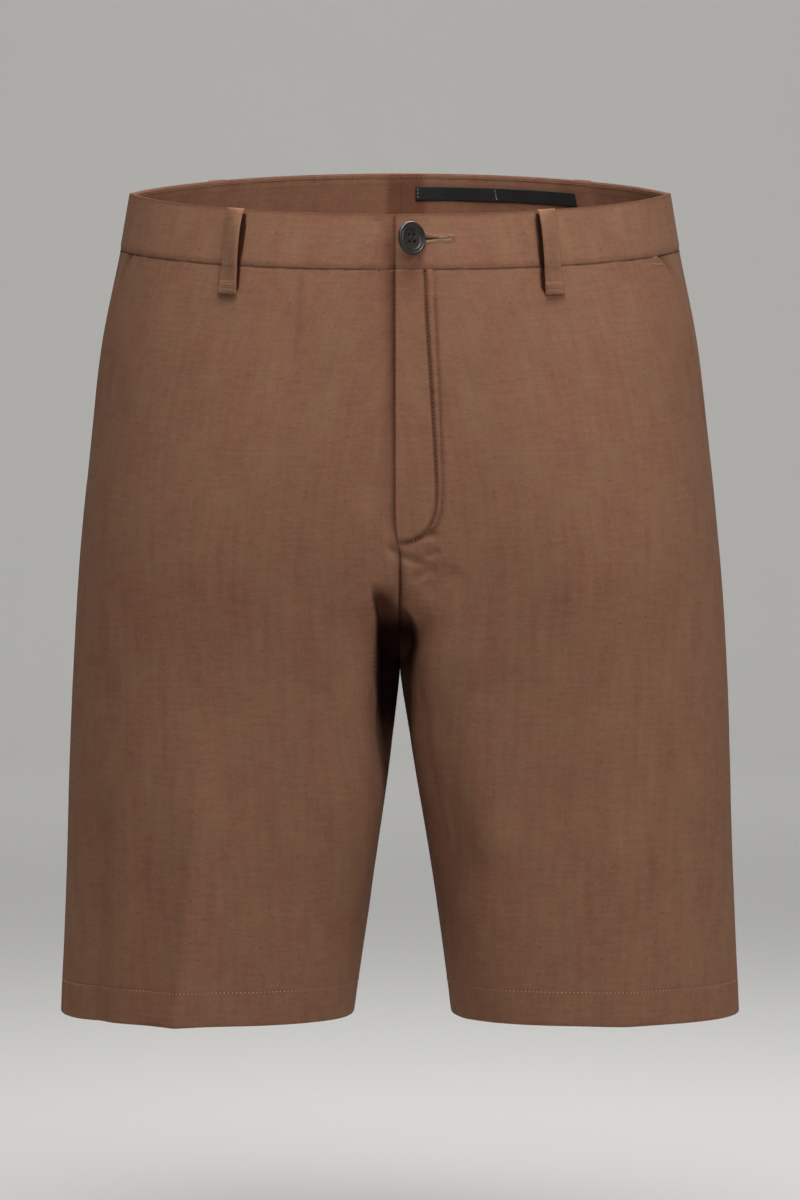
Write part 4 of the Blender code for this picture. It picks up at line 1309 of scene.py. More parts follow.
# Waves below the button, from the buttonhole's pull: the distance from the middle and the width, in
# centimetres, and the height, in millimetres
BAND_WAVES = ((1.10, 0.09, -0.16), (1.36, 0.12, 0.14), (0.85, 0.12, 0.12), (1.75, 0.2, 0.08))
SLIT_DROP = 1.63 * CM
SLIT_START = 0.95 * CM
SLIT_END = 2.25 * CM


def slit_half(centre):
    """Half width of the buttonhole's opening: pulled open by the shank, closing towards its eye."""
    share = np.clip((centre - SLIT_START) / (SLIT_END - SLIT_START), 0.0, 1.0)
    inside = smooth((SLIT_END + 1.0 * MM - centre) / (1.2 * MM)) * smooth((centre - 0.7 * CM) / (1.5 * MM))
    return (1.1 * MM * (1.0 - share) ** 1.1 + 0.12 * MM) * inside


def band_face(spots, options, dip):
    """Heights of a waistband's outer and inner faces."""
    up = BAND_SEAM - spots.drop
    outer = BAND_PROUD - dip - options.seam_groove * 0.3 * bell(up, 0.5 * MM)
    outer -= 0.45 * MM * (1.0 - smooth(up / (3.5 * MM)))
    outer = outer + options.pucker * 0.8 * pucker(spots.side, up, 5.5 * MM, 5 * MM, 31)
    outer -= 0.5 * options.seam_groove * np.exp(-spots.centre / (1.0 * MM)) * (spots.share > 1.0)
    turned = 1.0 - smooth((spots.drop - 0.72 * CM) / (0.6 * MM))
    inner = BAND_PROUD - BAND_WALL - dip - 0.12 * MM * turned
    inner = inner + 0.5 * options.seam_groove * np.exp(-spots.centre / (1.6 * MM)) * (spots.share > 1.0)
    crease = noise(np.stack([spots.side / (9 * MM), spots.drop / (25 * MM), 0 * spots.side], -1), 1.0, 41)
    inner += 0.34 * MM * crease
    return outer, inner


def band_shade(spots):
    """Painted shade of a waistband: outside at its rim, seam, loops and the fly's edge; inside, more at the
    back.
    """
    # Painted shade on the top rim, where it faces the light from above
    rim = 0.58 * np.exp(-(spots.drop - BAND_WALL / 2) / (0.6 * MM))
    seam = seam_shade(spots, BAND_SEAM - spots.drop)
    outer = np.maximum.reduce([rim, seam, loop_shade(spots) * (spots.share < 1.0)])
    # Painted shade on the right half beside the fly's edge
    if spots.hand < 0:
        level = 0.22 + 0.30 * smooth(spots.drop / (3.4 * CM))
        outer = np.maximum(outer, level * np.exp(-((spots.centre / (6.0 * MM)) ** 1.3)) * (spots.share < 1.0))
    # Painted shade on the inner face, darker at the centre back
    beside = (13.0 if spots.hand > 0 else 6.0) * MM
    middle = 1.0 - smooth((spots.centre - beside) / (5.0 * MM))
    low = past(spots.drop, 0.5, 0.5)
    inner = 0.10 * low + 0.36 * middle * (spots.share > 1.0)
    return outer, inner


def make_band_left(finish):
    """The left half of the waistband, with the buttonhole's slit in its end."""
    options = bpy.context.scene.shorts_sizes
    share = spaced(
        (0.004, 0.0026), (0.17, 0.0026), (0.20, 0.006), (0.37, 0.006), (0.40, 0.0035), (0.52, 0.0035),
        (0.55, 0.006), (0.95, 0.006), (1.10, 0.012), (1.90, 0.012), (1.98, 0.006), (2.0, 0.003),
    )
    spots = places(band_drops(), share, 1)
    outer, inner = band_face(spots, options, 0.0)
    off_slit = np.abs(spots.drop - SLIT_DROP)
    in_front = spots.share < 1.0
    half = slit_half(spots.centre) * in_front
    outer -= 1.3 * MM * smooth((half + 0.35 * MM - off_slit) / (0.5 * MM)) * (half > 0)
    beside = smooth((3.3 * CM - spots.centre) / (2 * MM)) * smooth((spots.centre - 0.6 * CM) / (3 * MM))
    outer += 0.25 * MM * bell(off_slit - 1.6 * MM, 1.2 * MM) * beside * in_front
    for centre, width, height in BAND_WAVES:
        fall = past(spots.drop, 2.4, 0.5)
        outer += height * MM * bell(spots.centre - centre * CM, width * CM) * fall * in_front
    piece = shell(
        "waistband_left_cloth",
        at_height(spots, outer),
        at_height(spots, inner),
        cloth_map(spots),
        finish,
        top=0.4,
        bottom=0.5,
        end=0.1,
        shade=band_shade(spots),
    )
    declare("waistband_left", at_height(spots, outer))
    return piece


def make_band_right(finish):
    """The right half of the waistband, with the end that passes under the left half."""
    options = bpy.context.scene.shorts_sizes
    drop = band_drops()
    depth = BAND_WALL + SEAM_GAP
    under_share = UNDERLAP / girth(drop, 1)[0] * np.linspace(1.0, 0.0, 20)[:-1]
    below = places(drop, under_share, 1)
    columns = spaced(
        (0.0, 0.004), (0.08, 0.005), (0.12, 0.006), (0.41, 0.006), (0.44, 0.0035), (0.53, 0.0035),
        (0.56, 0.006), (0.95, 0.006), (1.10, 0.012), (1.90, 0.012), (1.98, 0.006), (2.0, 0.003),
    )
    beside = places(drop, columns, -1)
    dip = lap_dip(-beside.centre, depth) * (beside.share < 1.0)
    grids = []
    for spots, dips in ((below, depth), (beside, dip)):
        outer, inner = band_face(spots, options, dips)
        where = cloth_map(spots)
        if spots is below:
            where[..., 0] = where[..., 0].min() * 2 - where[..., 0]
        face_shade, back_shade = band_shade(spots)
        # Painted shade on the end that passes under the left half
        if spots is below:
            face_shade = 0.0 * face_shade + 0.5
        grids.append([at_height(spots, outer), at_height(spots, inner), where, face_shade, back_shade])
    outer, inner, where, *shade = (np.concatenate(pair, axis=1) for pair in zip(*grids))
    name = "waistband_right_cloth"
    piece = shell(name, outer, inner, where, finish, top=0.4, bottom=0.5, end=0.1, shade=shade)
    declare("waistband_right", outer)
    return piece


LOOP_BARS = (4.72 * CM, 5.02 * CM)


def loop_bars(loop):
    """Drops of the bar tacks across a loop's lower end."""
    return LOOP_BARS[1:] if loop.name == "belt_loop_front_left" else LOOP_BARS


def loop_heights(drop, columns, stand, bars):
    """Heights of a belt loop's inner and outer faces at each drop and column, -0.5 to 0.5 across it.

    The strip lies flat at its ends and arches off the cloth between them, most above its middle, and
    more on its near edge than on its far one.
    """
    along = ((drop - LOOP_TOP) / (LOOP_BOTTOM - LOOP_TOP))[:, None]
    seat = (BAND_PROUD * (1.0 - smooth((drop - BAND_SEAM) / (0.3 * CM))) + SEAM_GAP)[:, None]
    near, far = stand
    rise = near + (far - near) * smooth(columns + 0.5)
    arch = rise * np.sin(math.pi * np.clip(along, 0.0, 1.0) ** 0.62) ** 0.8
    inner = seat + arch
    turned = smooth((drop - LOOP_BARS[0] + 2.2 * MM) / (1.0 * MM))[:, None]
    outer = inner + LOOP_WALL + 0.5 * MM * turned
    fallen = 0.8 * MM * smooth((columns - 0.26) / 0.22) * np.minimum(arch / MM, 1.0)
    inner = inner - 0.6 * fallen
    outer = outer - fallen
    for bar in bars:
        outer -= 0.3 * MM * bell(drop[:, None] - bar, 0.8 * MM)
    return inner, outer


def loop_face(loop, columns, stand, bars=LOOP_BARS):
    """Outer and inner faces of a belt loop, and their map."""
    half = LOOP_WALL / 2
    drop = np.linspace(LOOP_TOP + half, LOOP_BOTTOM - half, 70)
    along = (drop - LOOP_TOP) / (LOOP_BOTTOM - LOOP_TOP)
    length = girth(drop, loop.hand)[0 if loop.share_top < 1.0 else 1]
    centre = (loop.share_top + (loop.share_low - loop.share_top) * along)[:, None]
    wide = LOOP_WIDTH - LOOP_WALL
    spots = places(drop, centre + wide / length * columns, loop.hand)
    inner, outer = loop_heights(drop, columns, stand, bars)
    where = cloth_map(spots)
    return [at_height(spots, outer), at_height(spots, inner), where]


LOOP_COLUMNS = np.linspace(-0.5, 0.5, 23)


def make_loop(loop, finish):
    front = loop.share_top < 1.0
    stand = FRONT_LOOP_STAND if front else BACK_LOOP_STAND
    faces = loop_face(loop, LOOP_COLUMNS, stand, loop_bars(loop))
    piece = shell(f"{loop.name}_cloth", *faces, finish)
    declare(loop.name, faces[0])
    return piece


def make_centre_loop(finish):
    """The loop over the centre back, half on each side of it."""
    columns = LOOP_COLUMNS[LOOP_COLUMNS <= 1e-9]
    left, right = (loop_face(half, columns, CENTRE_LOOP_STAND) for half in CENTRE_LOOP)
    faces = []
    for one, other in zip(left, right):
        middle = (one[:, -1:] + other[:, -1:]) / 2
        faces.append(np.concatenate([one[:, :-1], middle, other[:, -2::-1]], axis=1))
    across = faces[2][..., 0]
    across[:, len(columns) :] = 2 * across[:, len(columns) - 1, None] - across[:, len(columns) :]
    piece = shell("belt_loop_back_centre_cloth", *faces, finish)
    declare("belt_loop_back_centre", faces[0])
    return piece


def make_label(label, slant, finish):
    """A bare woven tape inside the back of the waistband; its far end is cut on a slant."""
    drop = np.linspace(LABEL_TOP, LABEL_BOTTOM, 22)
    back = girth(drop, 1)[1]
    down = np.linspace(0.0, 1.0, len(drop))[:, None]
    far = label.far + slant * (down - 1.0)
    share = 2.0 - (label.near + (far - label.near) * np.linspace(0.0, 1.0, 60)) / back
    spots = places(drop, share, 1)
    run = (2.0 - spots.share) * back
    wave = 0.25 * MM * noise(np.stack([run / (11 * MM), down + 0 * run, 0 * run], axis=-1), 1.0, 51)
    height = BAND_PROUD - BAND_WALL - 0.35 * MM + wave
    where = cloth_map(spots)
    outer = at_height(spots, height - 0.05 * MM)
    inner = at_height(spots, height - 0.05 * MM - LABEL_WALL)
    piece = shell(f"{label.name}_tape", outer, inner, where, finish, rings=1)
    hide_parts(label.name)
    return piece


# ---------------------------------------------------------------- sewing


# Points of a line round one half of the body
LINE_POINTS = 420


def fly_line(row, height):
    """A line on the left front along a row of the fly's stitching."""
    path = dense_row(row, 240)
    share = path[:, 1] / girth(path[:, 0], 1)[0][:, 0]
    return cloth_line(path[:, 0], share, 1, height)


def level_line(drop, hand, start, end, height):
    """A line round one half at one drop, between two shares."""
    share = np.linspace(start, end, LINE_POINTS)
    return cloth_line(np.full(share.shape, drop), share, hand, height)


def make_seam_stitches():
    """Stitches in the cloth's own colour: the fly's two rows and the waistband's inner edge."""
    options = bpy.context.scene.shorts_sizes
    pitch, width = options.stitch_length, options.thread_width
    bundle = Bundle()
    sew(bundle, fly_line(INNER_FLY_ROW, -0.45 * options.seam_groove), pitch, width)
    sew(bundle, fly_line(OUTER_FLY_ROW, -0.25 * options.seam_groove), pitch, width)
    inside = BAND_PROUD - BAND_WALL - 0.35 * MM
    for hand in (-1, 1):
        points, out = level_line(0.30 * CM, hand, 0.02, 1.995, inside)
        sew(bundle, (points, -out), pitch, width, 0.2 * MM)
        points, out = level_line(3.1 * CM, hand, 0.02, 1.995, inside + 0.3 * MM)
        sew(bundle, (points, -out), pitch, width, 0.2 * MM)
    return bundle.piece("seam_stitches", finish_named("brown sewing thread", thread))


def make_hem_stitches():
    """The lighter stitches that hold up the hems, outside and inside."""
    options = bpy.context.scene.shorts_sizes
    pitch, width = options.stitch_length, options.thread_width
    bundle = Bundle()
    for hand in (-1, 1):
        for start, end in ((0.008, 0.994), (1.006, 1.992)):
            along = np.linspace(0.0, 9.0, LINE_POINTS)[:, None] * [1.0, 0.0, 0.0]
            lift = 0.34 * MM * noise(along, 1.0, 61) - 0.02 * MM
            sew(bundle, level_line(HEM_FOLD, hand, start, end, lift), pitch, width * 1.1, 0.2 * MM, 0.38)
            points, out = level_line(HEM_FOLD, hand, start, end, -HEM_WALL)
            sew(bundle, (points, -out), pitch, width * 0.85)
    return bundle.piece("hem_stitches", finish_named("light sewing thread", thread))


def make_needle_hole_shadows():
    """Painted shadows of needle holes: dark beads beside the band's seam, in the fly's rows and at the hems.
    """
    options = bpy.context.scene.shorts_sizes
    pitch, width = options.stitch_length, options.thread_width
    bundle = Bundle()
    groove = options.seam_groove
    prick(bundle, fly_line(INNER_FLY_ROW, -0.85 * groove), pitch, width * 1.1)
    prick(bundle, fly_line(OUTER_FLY_ROW, -0.85 * groove), pitch, width * 1.1)
    for hand, start in ((-1, 0.02), (1, 0.004)):
        below_band = level_line(BAND_SEAM + 0.4 * MM, hand, start, 1.99, -0.10 * groove)
        prick(bundle, below_band, 1.6 * MM, 0.70 * MM)
        for first, last in ((0.008, 0.994), (1.006, 1.992)):
            prick(bundle, level_line(HEM_FOLD, hand, first, last, -0.18 * MM), pitch, width * 0.9)
    return bundle.piece("needle_holes", finish_named("needle hole", thread))


def bar_of_thread(bundle, line, height, pitch=0.42 * MM, width=0.40 * MM):
    """A bar tack: short stitches side by side along a line, each lying across it."""
    centre, along, out = steps_along(*line, pitch)
    across = np.cross(out, along)
    across /= np.linalg.norm(across, axis=-1, keepdims=True)
    bundle.add(*capsules(centre, across, out, height, width, 0.12 * MM))


def make_bar_tacks():
    """Bar tacks across the ends of the belt loops and at the ends of the pockets' mouths."""
    bundle = Bundle()
    columns = np.linspace(-0.42, 0.42, 30)
    for loop in (*BELT_LOOPS, *CENTRE_LOOP):
        front = loop.share_top < 1.0
        stand = FRONT_LOOP_STAND if front else BACK_LOOP_STAND
        for bar in loop_bars(loop):
            across = columns if loop.share_top < 2.0 else np.linspace(-0.42, 0.0, 16)
            drop = np.full(across.shape, bar)
            length = girth_at(bar, loop.hand, 0 if front else 1)
            _, outer = loop_heights(drop[:1], across, stand, loop_bars(loop))
            share = loop.share_low + (LOOP_WIDTH - LOOP_WALL) / length * across
            line = cloth_line(drop, share, loop.hand, outer[0] + 0.05 * MM)
            bar_of_thread(bundle, line, 1.2 * MM)
    for hand in (-1, 1):
        front = girth_at(4.0 * CM, hand)
        mouth = pocket_inset(np.array([4.0 * CM]), hand)[0]
        share = 1.0 - (mouth + np.linspace(1.25, 0.2, 20) * CM) / front
        line = cloth_line(np.linspace(3.95, 4.05, 20) * CM, share, hand, 0.12 * MM)
        if hand > 0:
            bar_of_thread(bundle, line, 0.9 * MM)
        front = girth_at(POCKET_BOTTOM, hand)
        drop = np.linspace(POCKET_BOTTOM - 0.4 * CM, POCKET_BOTTOM + 0.4 * CM, 12)
        line = cloth_line(drop, np.full(drop.shape, 1.0 - 1.6 * MM / front), hand, 0.1 * MM)
        bar_of_thread(bundle, line, 1.6 * MM)
    return bundle.piece("bar_tacks", finish_named("tack thread", thread))


def make_label_tacks():
    """The stitches that hold the labels' ends."""
    bundle = Bundle()
    back = girth_at(LABEL_TOP, 1, 1)
    inside = BAND_PROUD - BAND_WALL - 0.35 * MM - LABEL_WALL - 0.15 * MM
    for place, tilt in ((LABELS[0].far + 0.2 * MM, 0.5 * MM), (LABELS[0].near + 1.2 * MM, 0.0)):
        drop = np.linspace(LABEL_TOP + 0.5 * MM, LABEL_BOTTOM - 0.5 * MM, 30)
        share = 2.0 - (place + np.linspace(-tilt, tilt, 30)) / back
        points, out = cloth_line(drop, share, 1, inside)
        sew(bundle, (points, -out), 2.2 * MM, 0.36 * MM, 0.12 * MM)
    return bundle.piece("label_tacks", finish_named("light sewing thread", thread))


def make_buttonhole(finish, dark):
    """A keyhole buttonhole: purl stitches side by side along its lips and eye, and its slit's painted shadow.
    """
    line = np.array(HOLE_LINE)[:, ::-1]
    path = dense_row(line, 160)
    share = path[:, 1] / girth(path[:, 0], 1)[0][:, 0]
    points, out = cloth_line(path[:, 0], share, 1, BAND_PROUD + 0.12 * MM)
    bundle = Bundle()
    bar_of_thread(bundle, (points, out), 1.65 * MM, 0.46 * MM, 0.44 * MM)
    drop = np.linspace(1.48 * CM, 1.84 * CM, 16)
    front = girth(drop, 1)[0][:, 0]
    end = cloth_line(drop, 3.22 * CM / front, 1, BAND_PROUD + 0.10 * MM)
    bar_of_thread(bundle, end, 1.0 * MM, 0.40 * MM, 0.42 * MM)
    threads = bundle.piece("buttonhole_stitches", finish)

    # Painted shadow: a dark sheet down in the slit
    centre = np.linspace(SLIT_START - 0.1 * CM, SLIT_END, 60)
    across = np.linspace(-1.0, 1.0, 7)
    front = girth_at(SLIT_DROP, 1)
    drop = SLIT_DROP + slit_half(centre)[:, None] * across
    share = np.broadcast_to((centre / front)[:, None], drop.shape)
    spots = places(drop.ravel(), share.ravel()[:, None], 1)
    upper = at_height(spots, np.full((drop.size, 1), BAND_PROUD - 0.75 * MM)).reshape(*drop.shape, 3)
    lower = at_height(spots, np.full((drop.size, 1), BAND_PROUD - 1.4 * MM)).reshape(*drop.shape, 3)
    where = cloth_map(spots).reshape(*drop.shape, 2)
    slit = shell("buttonhole_slit", upper, lower, where, dark, rings=1)
    return threads, slit


# The button's turned outline as points (radius, height), in millimetres, from the middle of its back
# round its edge to the middle of its face.
BUTTON_OUTLINE = (
    (0.0, 0.30), (3.0, 0.28), (6.0, 0.12), (7.6, 0.15), (8.8, 0.60), (9.55, 1.25), (9.8, 1.85),
    (9.65, 2.50), (9.2, 2.95), (8.75, 3.08), (8.35, 2.95), (8.0, 2.62), (7.65, 2.48), (7.3, 2.62),
    (6.95, 2.72), (6.6, 2.58), (6.2, 2.22), (5.6, 2.02), (4.4, 1.93), (2.4, 1.88), (0.0, 1.88),
)
BUTTON_SIDES = 128
HOLE_OFFSET = 1.9 * MM
HOLE_RADIUS = 1.0 * MM


def button_seat():
    """Where the button's shank leaves the waistband, the way out there, and the way the front faces."""
    drop = np.array([BUTTON_DROP])
    share = np.array([[BUTTON_FROM_MIDDLE]]) / girth(drop, 1)[0]
    spots = places(drop, share, 1)
    out = spots.out[0, 0]
    return at_height(spots, BAND_PROUD + SEAM_GAP)[0, 0], out, math.atan2(out[0], -out[1])


def turned_axes(tip, heading):
    """A turned part's own axes as the rows of a matrix: across, up and out, tipped and then turned."""
    across = np.array([math.cos(heading), math.sin(heading), 0.0])
    level = np.array([math.sin(heading), -math.cos(heading), 0.0])
    up = np.array([0.0, 0.0, 1.0])
    tipped_up = up * math.cos(tip) - level * math.sin(tip)
    tipped_out = level * math.cos(tip) + up * math.sin(tip)
    return np.stack([across, tipped_up, tipped_out])


def turned(outline, sides, sink=None):
    """A part turned about its third axis from points (radius, height), and its quads.

    sink gives how far a place (x, y) on the upper side is sunk.
    """
    angle = np.linspace(0.0, 2 * math.pi, sides, endpoint=False)
    radius = outline[:, :1]
    height = np.broadcast_to(outline[:, 1:], (len(outline), sides)).copy()
    points = np.stack([radius * np.cos(angle), radius * np.sin(angle), height], axis=-1)
    if sink is not None:
        points[..., 2] -= sink(points[..., 0], points[..., 1]) * (height > 1.5 * MM)
    index = np.arange(len(outline) * sides).reshape(len(outline), sides)
    beside = np.roll(index, -1, axis=1)
    quads = np.stack([index[:-1], beside[:-1], beside[1:], index[1:]], axis=-1).reshape(-1, 4)
    return points.reshape(-1, 3), quads


def close_poles(piece):
    """Merges the rings that have shrunk to a point."""
    work = bmesh.new()
    work.from_mesh(piece.data)
    bmesh.ops.remove_doubles(work, verts=work.verts, dist=1e-7)
    work.to_mesh(piece.data)
    work.free()
    piece.data.shade_smooth()


def make_button(resin, cord):
    """A four-hole button with a double rim, tipped and turned as its buttonhole pulls it, and its shank."""
    seat, out, heading = button_seat()
    axes = turned_axes(BUTTON_TIP, heading + BUTTON_TURN)
    knots = np.array(BUTTON_OUTLINE) / 10
    outline = np.abs(dense_row(knots, 110))

    def holes(x, y):
        away = np.hypot(np.abs(x) - HOLE_OFFSET, np.abs(y) - HOLE_OFFSET)
        return 1.35 * MM * (1.0 - smooth((away - HOLE_RADIUS + 0.15 * MM) / (0.3 * MM)))

    points, quads = turned(outline, BUTTON_SIDES, holes)
    base = seat + out * (BUTTON_SHANK - SHANK_SUNK)
    button = new_piece("button_turned", base + points @ axes, quads, resin)
    close_poles(button)
    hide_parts("button")

    bundle = Bundle()
    ends = []
    for x in (-HOLE_OFFSET, HOLE_OFFSET):
        for aside in (-0.22 * MM, 0.22 * MM):
            ends.append(base + np.array([x + aside, 0.0, 1.15 * MM]) @ axes)
    count = len(ends)
    up = np.broadcast_to(axes[1], (count, 3))
    face = np.broadcast_to(axes[2], (count, 3))
    bundle.add(*capsules(np.array(ends), up, face, 2 * HOLE_OFFSET + 0.9 * MM, 0.42 * MM, 0.25 * MM))
    along = np.linspace(0.0, 1.0, 40)
    wound = 1.5 * MM * (1.0 + 0.08 * np.sin(along * 2 * math.pi * 9)) * (1.25 - 0.5 * np.sin(math.pi * along))
    height = (BUTTON_SHANK + 1.0 * MM) * along - 0.8 * MM
    points, quads = turned(np.stack([wound, height], axis=-1), 24)
    straight = turned_axes(0.0, heading)
    bundle.add(seat + points @ straight, quads)
    threads = bundle.piece("button_thread", cord)
    return button, threads


# ---------------------------------------------------------------- studio

Lamp = namedtuple("Lamp", "name place aim size power")
LAMPS = (
    Lamp("key_light", (0.0, -0.45, 1.0), (0.0, 0.0, -0.2), 0.9, 18.0),
    Lamp("side_light", (0.9, -1.25, 0.55), (0.0, 0.0, -0.25), 0.8, 7.2),
    Lamp("back_light", (0.15, 1.0, 1.2), (0.0, 0.0, -0.2), 1.0, 22.0),
    Lamp("wall_light_back", (0.0, 3.4, 3.4), (0.0, 6.5, -0.1), 1.8, 100.0),
    Lamp("wall_light_front", (0.0, -3.4, 3.4), (0.0, -6.5, -0.1), 1.8, 48.0),
    Lamp("wall_light_left", (3.4, 0.0, 3.4), (6.5, 0.0, -0.1), 1.8, 48.0),
    Lamp("wall_light_right", (-3.4, 0.0, 3.4), (-6.5, 0.0, -0.1), 1.8, 48.0),
)
WORLD_STRENGTH = 0.03
CAMERA_PLACE = (0.0, -3.0, -0.1554)
CAMERA_TILT = math.atan(150 / 4980)
CAMERA_LENS = 149.4
CAMERA_FILM = 36.0
FLOOR = -0.66
WALL_AWAY = 6.5
WALL_BEND = 1.4
WALL_HEIGHT = 5.0
WALL_SIDES = 96


def make_backdrop(finish):
    """A round seamless sweep: a flat floor that turns up into a wall through a quarter round."""
    turns = np.linspace(0.0, math.pi / 2, 16)
    radius = np.concatenate([[0.4, 1.2, 3.0], WALL_AWAY - WALL_BEND * (1.0 - np.sin(turns)), [WALL_AWAY]])
    height = np.concatenate([[0.0] * 3, WALL_BEND * (1.0 - np.cos(turns)), [WALL_HEIGHT]]) + FLOOR
    angle = np.linspace(0.0, 2 * math.pi, WALL_SIDES, endpoint=False)
    z = np.broadcast_to(height[:, None], (len(height), WALL_SIDES))
    rings = np.stack([radius[:, None] * np.cos(angle), radius[:, None] * np.sin(angle), z], axis=-1)
    index = np.arange(z.size).reshape(z.shape)
    beside = np.roll(index, -1, axis=1)
    quads = np.stack([index[:-1], index[1:], beside[1:], beside[:-1]], axis=-1).reshape(-1, 4)
    middle = np.stack([np.full(WALL_SIDES, z.size), index[0], beside[0]], axis=-1)
    points = np.concatenate([rings.reshape(-1, 3), [[0.0, 0.0, FLOOR]]])
    mesh = bpy.data.meshes.new("backdrop")
    mesh.from_pydata(points.tolist(), [], quads.tolist() + middle.tolist())
    mesh.shade_smooth()
    mesh.materials.append(finish)
    made = placed("backdrop", mesh)
    return made


def aimed(name, data, place, aim):
    """An object at a place, turned so that its front looks at the aim."""
    return placed(name, data, place, (Vector(aim) - Vector(place)).to_track_quat("-Z", "Y").to_euler())


def make_lights(strength):
    for lamp in LAMPS:
        data = bpy.data.lights.new(lamp.name, "AREA")
        data.shape = "DISK"
        data.size = lamp.size
        data.energy = lamp.power * strength
        aimed(lamp.name, data, lamp.place, lamp.aim)
    world = bpy.data.worlds.new("studio")
    world.use_nodes = True
    ground = world.node_tree.nodes["Background"]
    ground.inputs["Color"].default_value = (1.0, 1.0, 1.0, 1.0)
    ground.inputs["Strength"].default_value = WORLD_STRENGTH * strength
    bpy.context.scene.world = world


def make_camera():
    data = bpy.data.cameras.new("camera")
    data.lens = CAMERA_LENS
    data.sensor_width = CAMERA_FILM
    data.clip_end = 50.0
    bpy.context.scene.camera = placed("camera", data, CAMERA_PLACE, (math.pi / 2 - CAMERA_TILT, 0.0, 0.0))
    bpy.context.scene.view_settings.view_transform = "Standard"


# ---------------------------------------------------------------- add-on


def measure(name, description, default):
    """A setting that is a length."""
    return bpy.props.FloatProperty(name=name, description=description, default=default, unit="LENGTH")


def ratio(name, description, default, most=1.0):
    """A setting that is a share, from 0 up to a most."""
    limits = {"min": 0.0, "max": most}
    return bpy.props.FloatProperty(name=name, description=description, default=default, **limits)


class ShortsSizes(bpy.types.PropertyGroup):
    """Sizes that a maker would change."""

    stitch_length: measure("Stitch length", "From one stitch to the next", 2.4 * MM)
    thread_width: measure("Thread width", "Thickness of the sewing thread", 0.42 * MM)
    thread_pitch: measure("Weave", "From one thread of the cloth to the next", 0.5 * MM)
    seam_groove: measure("Seam groove", "How deep a seam draws the cloth in", 0.8 * MM)
    pucker: measure("Seam gathers", "Height of the gathers beside seams", 0.28 * MM)
    unevenness: ratio("Unevenness", "How far the cloth swells, as a share", 1.0, most=3.0)
    creases: ratio("Creases", "Strength of the small creases, as a share", 1.0, most=3.0)
    slub: ratio("Slubs", "How far single threads differ in tone", 0.24)
    mottle: ratio("Mottle", "How far patches of cloth differ in tone", 0.20)
    weave_relief: ratio("Weave relief", "Strength of the weave's relief", 0.45)
    # Strength of all painted shade: between the legs, at seams, the fly, the loops and the waistband
    hollow_shade: ratio("Hollow's shade", "How dark the cloth is between the legs", 0.88)
    light: ratio("Light", "Strength of the studio's light, as a share", 1.0, most=4.0)


def tint(name, description, colour):
    return bpy.props.FloatVectorProperty(
        name=name, description=description, default=colour, subtype="COLOR", size=3, min=0.0, max=1.0
    )


class ShortsColours(bpy.types.PropertyGroup):
    """Colours that a maker would change."""

    cloth_warm: tint("Cloth, warm", "The cloth's redder patches", (0.262, 0.1205, 0.076))
    cloth_cool: tint("Cloth, cool", "The cloth's browner patches", (0.216, 0.1154, 0.0674))
    # The hue of the painted shade, which the shade attribute blends the cloth towards
    cloth_shaded: tint("Cloth, shaded", "The cloth's hue in hollows and seams", (0.25, 0.082, 0.045))
    thread: tint("Thread", "Sewing thread that matches the cloth", (0.20, 0.105, 0.064))
    light_thread: tint("Light thread", "Thread of hems and bar tacks", (0.52, 0.34, 0.23))
    dark_thread: tint("Dark thread", "Thread of the button and depth of the slit", (0.012, 0.009, 0.008))
    hole_thread: tint("Buttonhole thread", "Thread of the buttonhole", (0.27, 0.160, 0.092))
    # Painted shadow: the colour of the beads in the needle holes and of the sheet in the buttonhole's slit
    needle_hole: tint("Needle holes", "Shadow in the needle's holes", (0.018, 0.008, 0.005))
    tape: tint("Tape", "Woven tape of the labels", (0.0055, 0.0052, 0.0055))
    button: tint("Button", "The button's resin", (0.008, 0.0065, 0.006))
    button_light: tint("Button, light", "Lighter clouds in the resin", (0.032, 0.026, 0.023))
    backdrop: tint("Backdrop", "Floor and wall of the studio", (0.60, 0.595, 0.58))


class SHORTS_OT_panels(bpy.types.Operator):
    """Cut the two fronts and the two backs, with their hems turned up"""

    bl_idname = "shorts.panels"
    bl_label = "Fronts and backs"

    def execute(self, context):
        cloth = finish_named("linen and cotton", linen)
        for hand in (-1, 1):
            make_front(hand, cloth)
            make_back(hand, cloth)
        return {"FINISHED"}


class SHORTS_OT_underlays(bpy.types.Operator):
    """Lay in the strips behind the pockets' mouths and the fly's underlap"""

    bl_idname = "shorts.underlays"
    bl_label = "Pocket facings and fly shield"

    def execute(self, context):
        cloth = finish_named("linen and cotton", linen)
        for hand in (-1, 1):
            make_facing(hand, cloth)
        make_shield(cloth)
        return {"FINISHED"}


class SHORTS_OT_waistband(bpy.types.Operator):
    """Make both halves of the waistband"""

    bl_idname = "shorts.waistband"
    bl_label = "Waistband"

    def execute(self, context):
        cloth = finish_named("linen and cotton", linen)
        make_band_left(cloth)
        make_band_right(cloth)
        return {"FINISHED"}


class SHORTS_OT_belt_loops(bpy.types.Operator):
    """Make the five belt loops"""

    bl_idname = "shorts.belt_loops"
    bl_label = "Belt loops"

    def execute(self, context):
        cloth = finish_named("linen and cotton", linen)
        for loop in BELT_LOOPS:
            make_loop(loop, cloth)
        make_centre_loop(cloth)
        return {"FINISHED"}


class SHORTS_OT_sewing(bpy.types.Operator):
    """Sew the seams, the fly, the hems and the bar tacks"""

    bl_idname = "shorts.sewing"
    bl_label = "Sewing"

    def execute(self, context):
        make_seam_stitches()
        make_hem_stitches()
        make_needle_hole_shadows()
        make_bar_tacks()
        return {"FINISHED"}


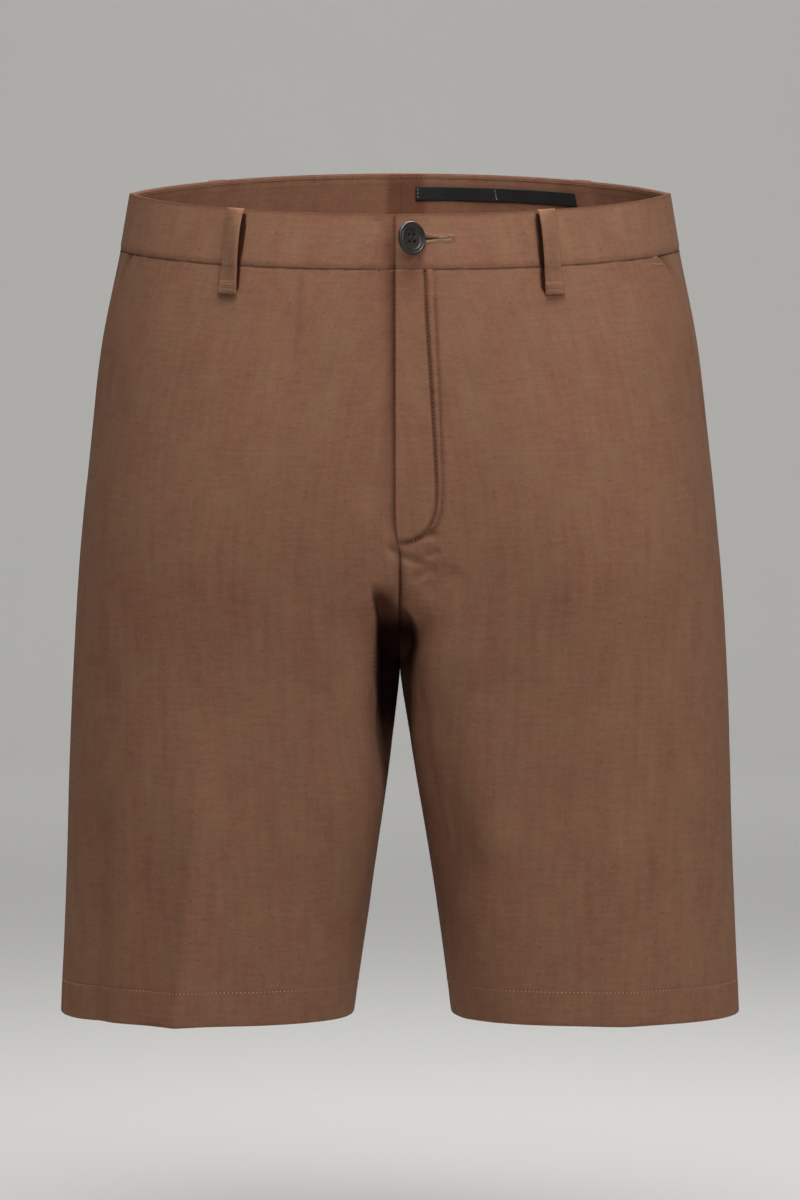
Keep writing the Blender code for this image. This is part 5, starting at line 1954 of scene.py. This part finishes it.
class SHORTS_OT_buttonhole(bpy.types.Operator):
    """Sew the keyhole buttonhole"""

    bl_idname = "shorts.buttonhole"
    bl_label = "Buttonhole"

    def execute(self, context):
        make_buttonhole(finish_named("buttonhole thread", thread), finish_named("needle hole", thread))
        return {"FINISHED"}


class SHORTS_OT_button(bpy.types.Operator):
    """Turn the button and wind its thread"""

    bl_idname = "shorts.button"
    bl_label = "Button"

    def execute(self, context):
        make_button(finish_named("horn resin", horn_resin), finish_named("dark thread", thread))
        return {"FINISHED"}


class SHORTS_OT_labels(bpy.types.Operator):
    """Sew the two bare labels inside the back of the waistband"""

    bl_idname = "shorts.labels"
    bl_label = "Labels"

    def execute(self, context):
        tape = finish_named("woven tape", woven_tape)
        for label, slant in zip(LABELS, (0.0, 1.8 * MM)):
            make_label(label, slant, tape)
        make_label_tacks()
        return {"FINISHED"}


class SHORTS_OT_studio(bpy.types.Operator):
    """Set up the pale backdrop, the soft lights and the camera"""

    bl_idname = "shorts.studio"
    bl_label = "Studio"

    def execute(self, context):
        make_backdrop(finish_named("studio paper", studio_paper))
        make_lights(context.scene.shorts_sizes.light)
        make_camera()
        return {"FINISHED"}


STEPS = (
    SHORTS_OT_panels,
    SHORTS_OT_underlays,
    SHORTS_OT_labels,
    SHORTS_OT_waistband,
    SHORTS_OT_belt_loops,
    SHORTS_OT_sewing,
    SHORTS_OT_buttonhole,
    SHORTS_OT_button,
    SHORTS_OT_studio,
)


class SHORTS_PT_panel(bpy.types.Panel):
    """Sizes, colours and pieces of the shorts"""

    bl_idname = "SHORTS_PT_panel"
    bl_label = "Bermuda shorts"
    bl_space_type = "VIEW_3D"
    bl_region_type = "UI"
    bl_category = "Shorts"

    def draw(self, context):
        layout = self.layout
        for group in (context.scene.shorts_sizes, context.scene.shorts_colours):
            for key in group.bl_rna.properties.keys():
                if key not in ("rna_type", "name"):
                    layout.prop(group, key)
        for step in STEPS:
            layout.operator(step.bl_idname)


CLASSES = (ShortsSizes, ShortsColours, *STEPS, SHORTS_PT_panel)


def register():
    for one in CLASSES:
        bpy.utils.register_class(one)
    bpy.types.Scene.shorts_sizes = bpy.props.PointerProperty(type=ShortsSizes)
    bpy.types.Scene.shorts_colours = bpy.props.PointerProperty(type=ShortsColours)


def unregister():
    del bpy.types.Scene.shorts_colours
    del bpy.types.Scene.shorts_sizes
    for one in reversed(CLASSES):
        bpy.utils.unregister_class(one)


def main():
    register()
    for step in STEPS:
        group, name = step.bl_idname.split(".")
        getattr(getattr(bpy.ops, group), name)()


if __name__ == "__main__":
    main()
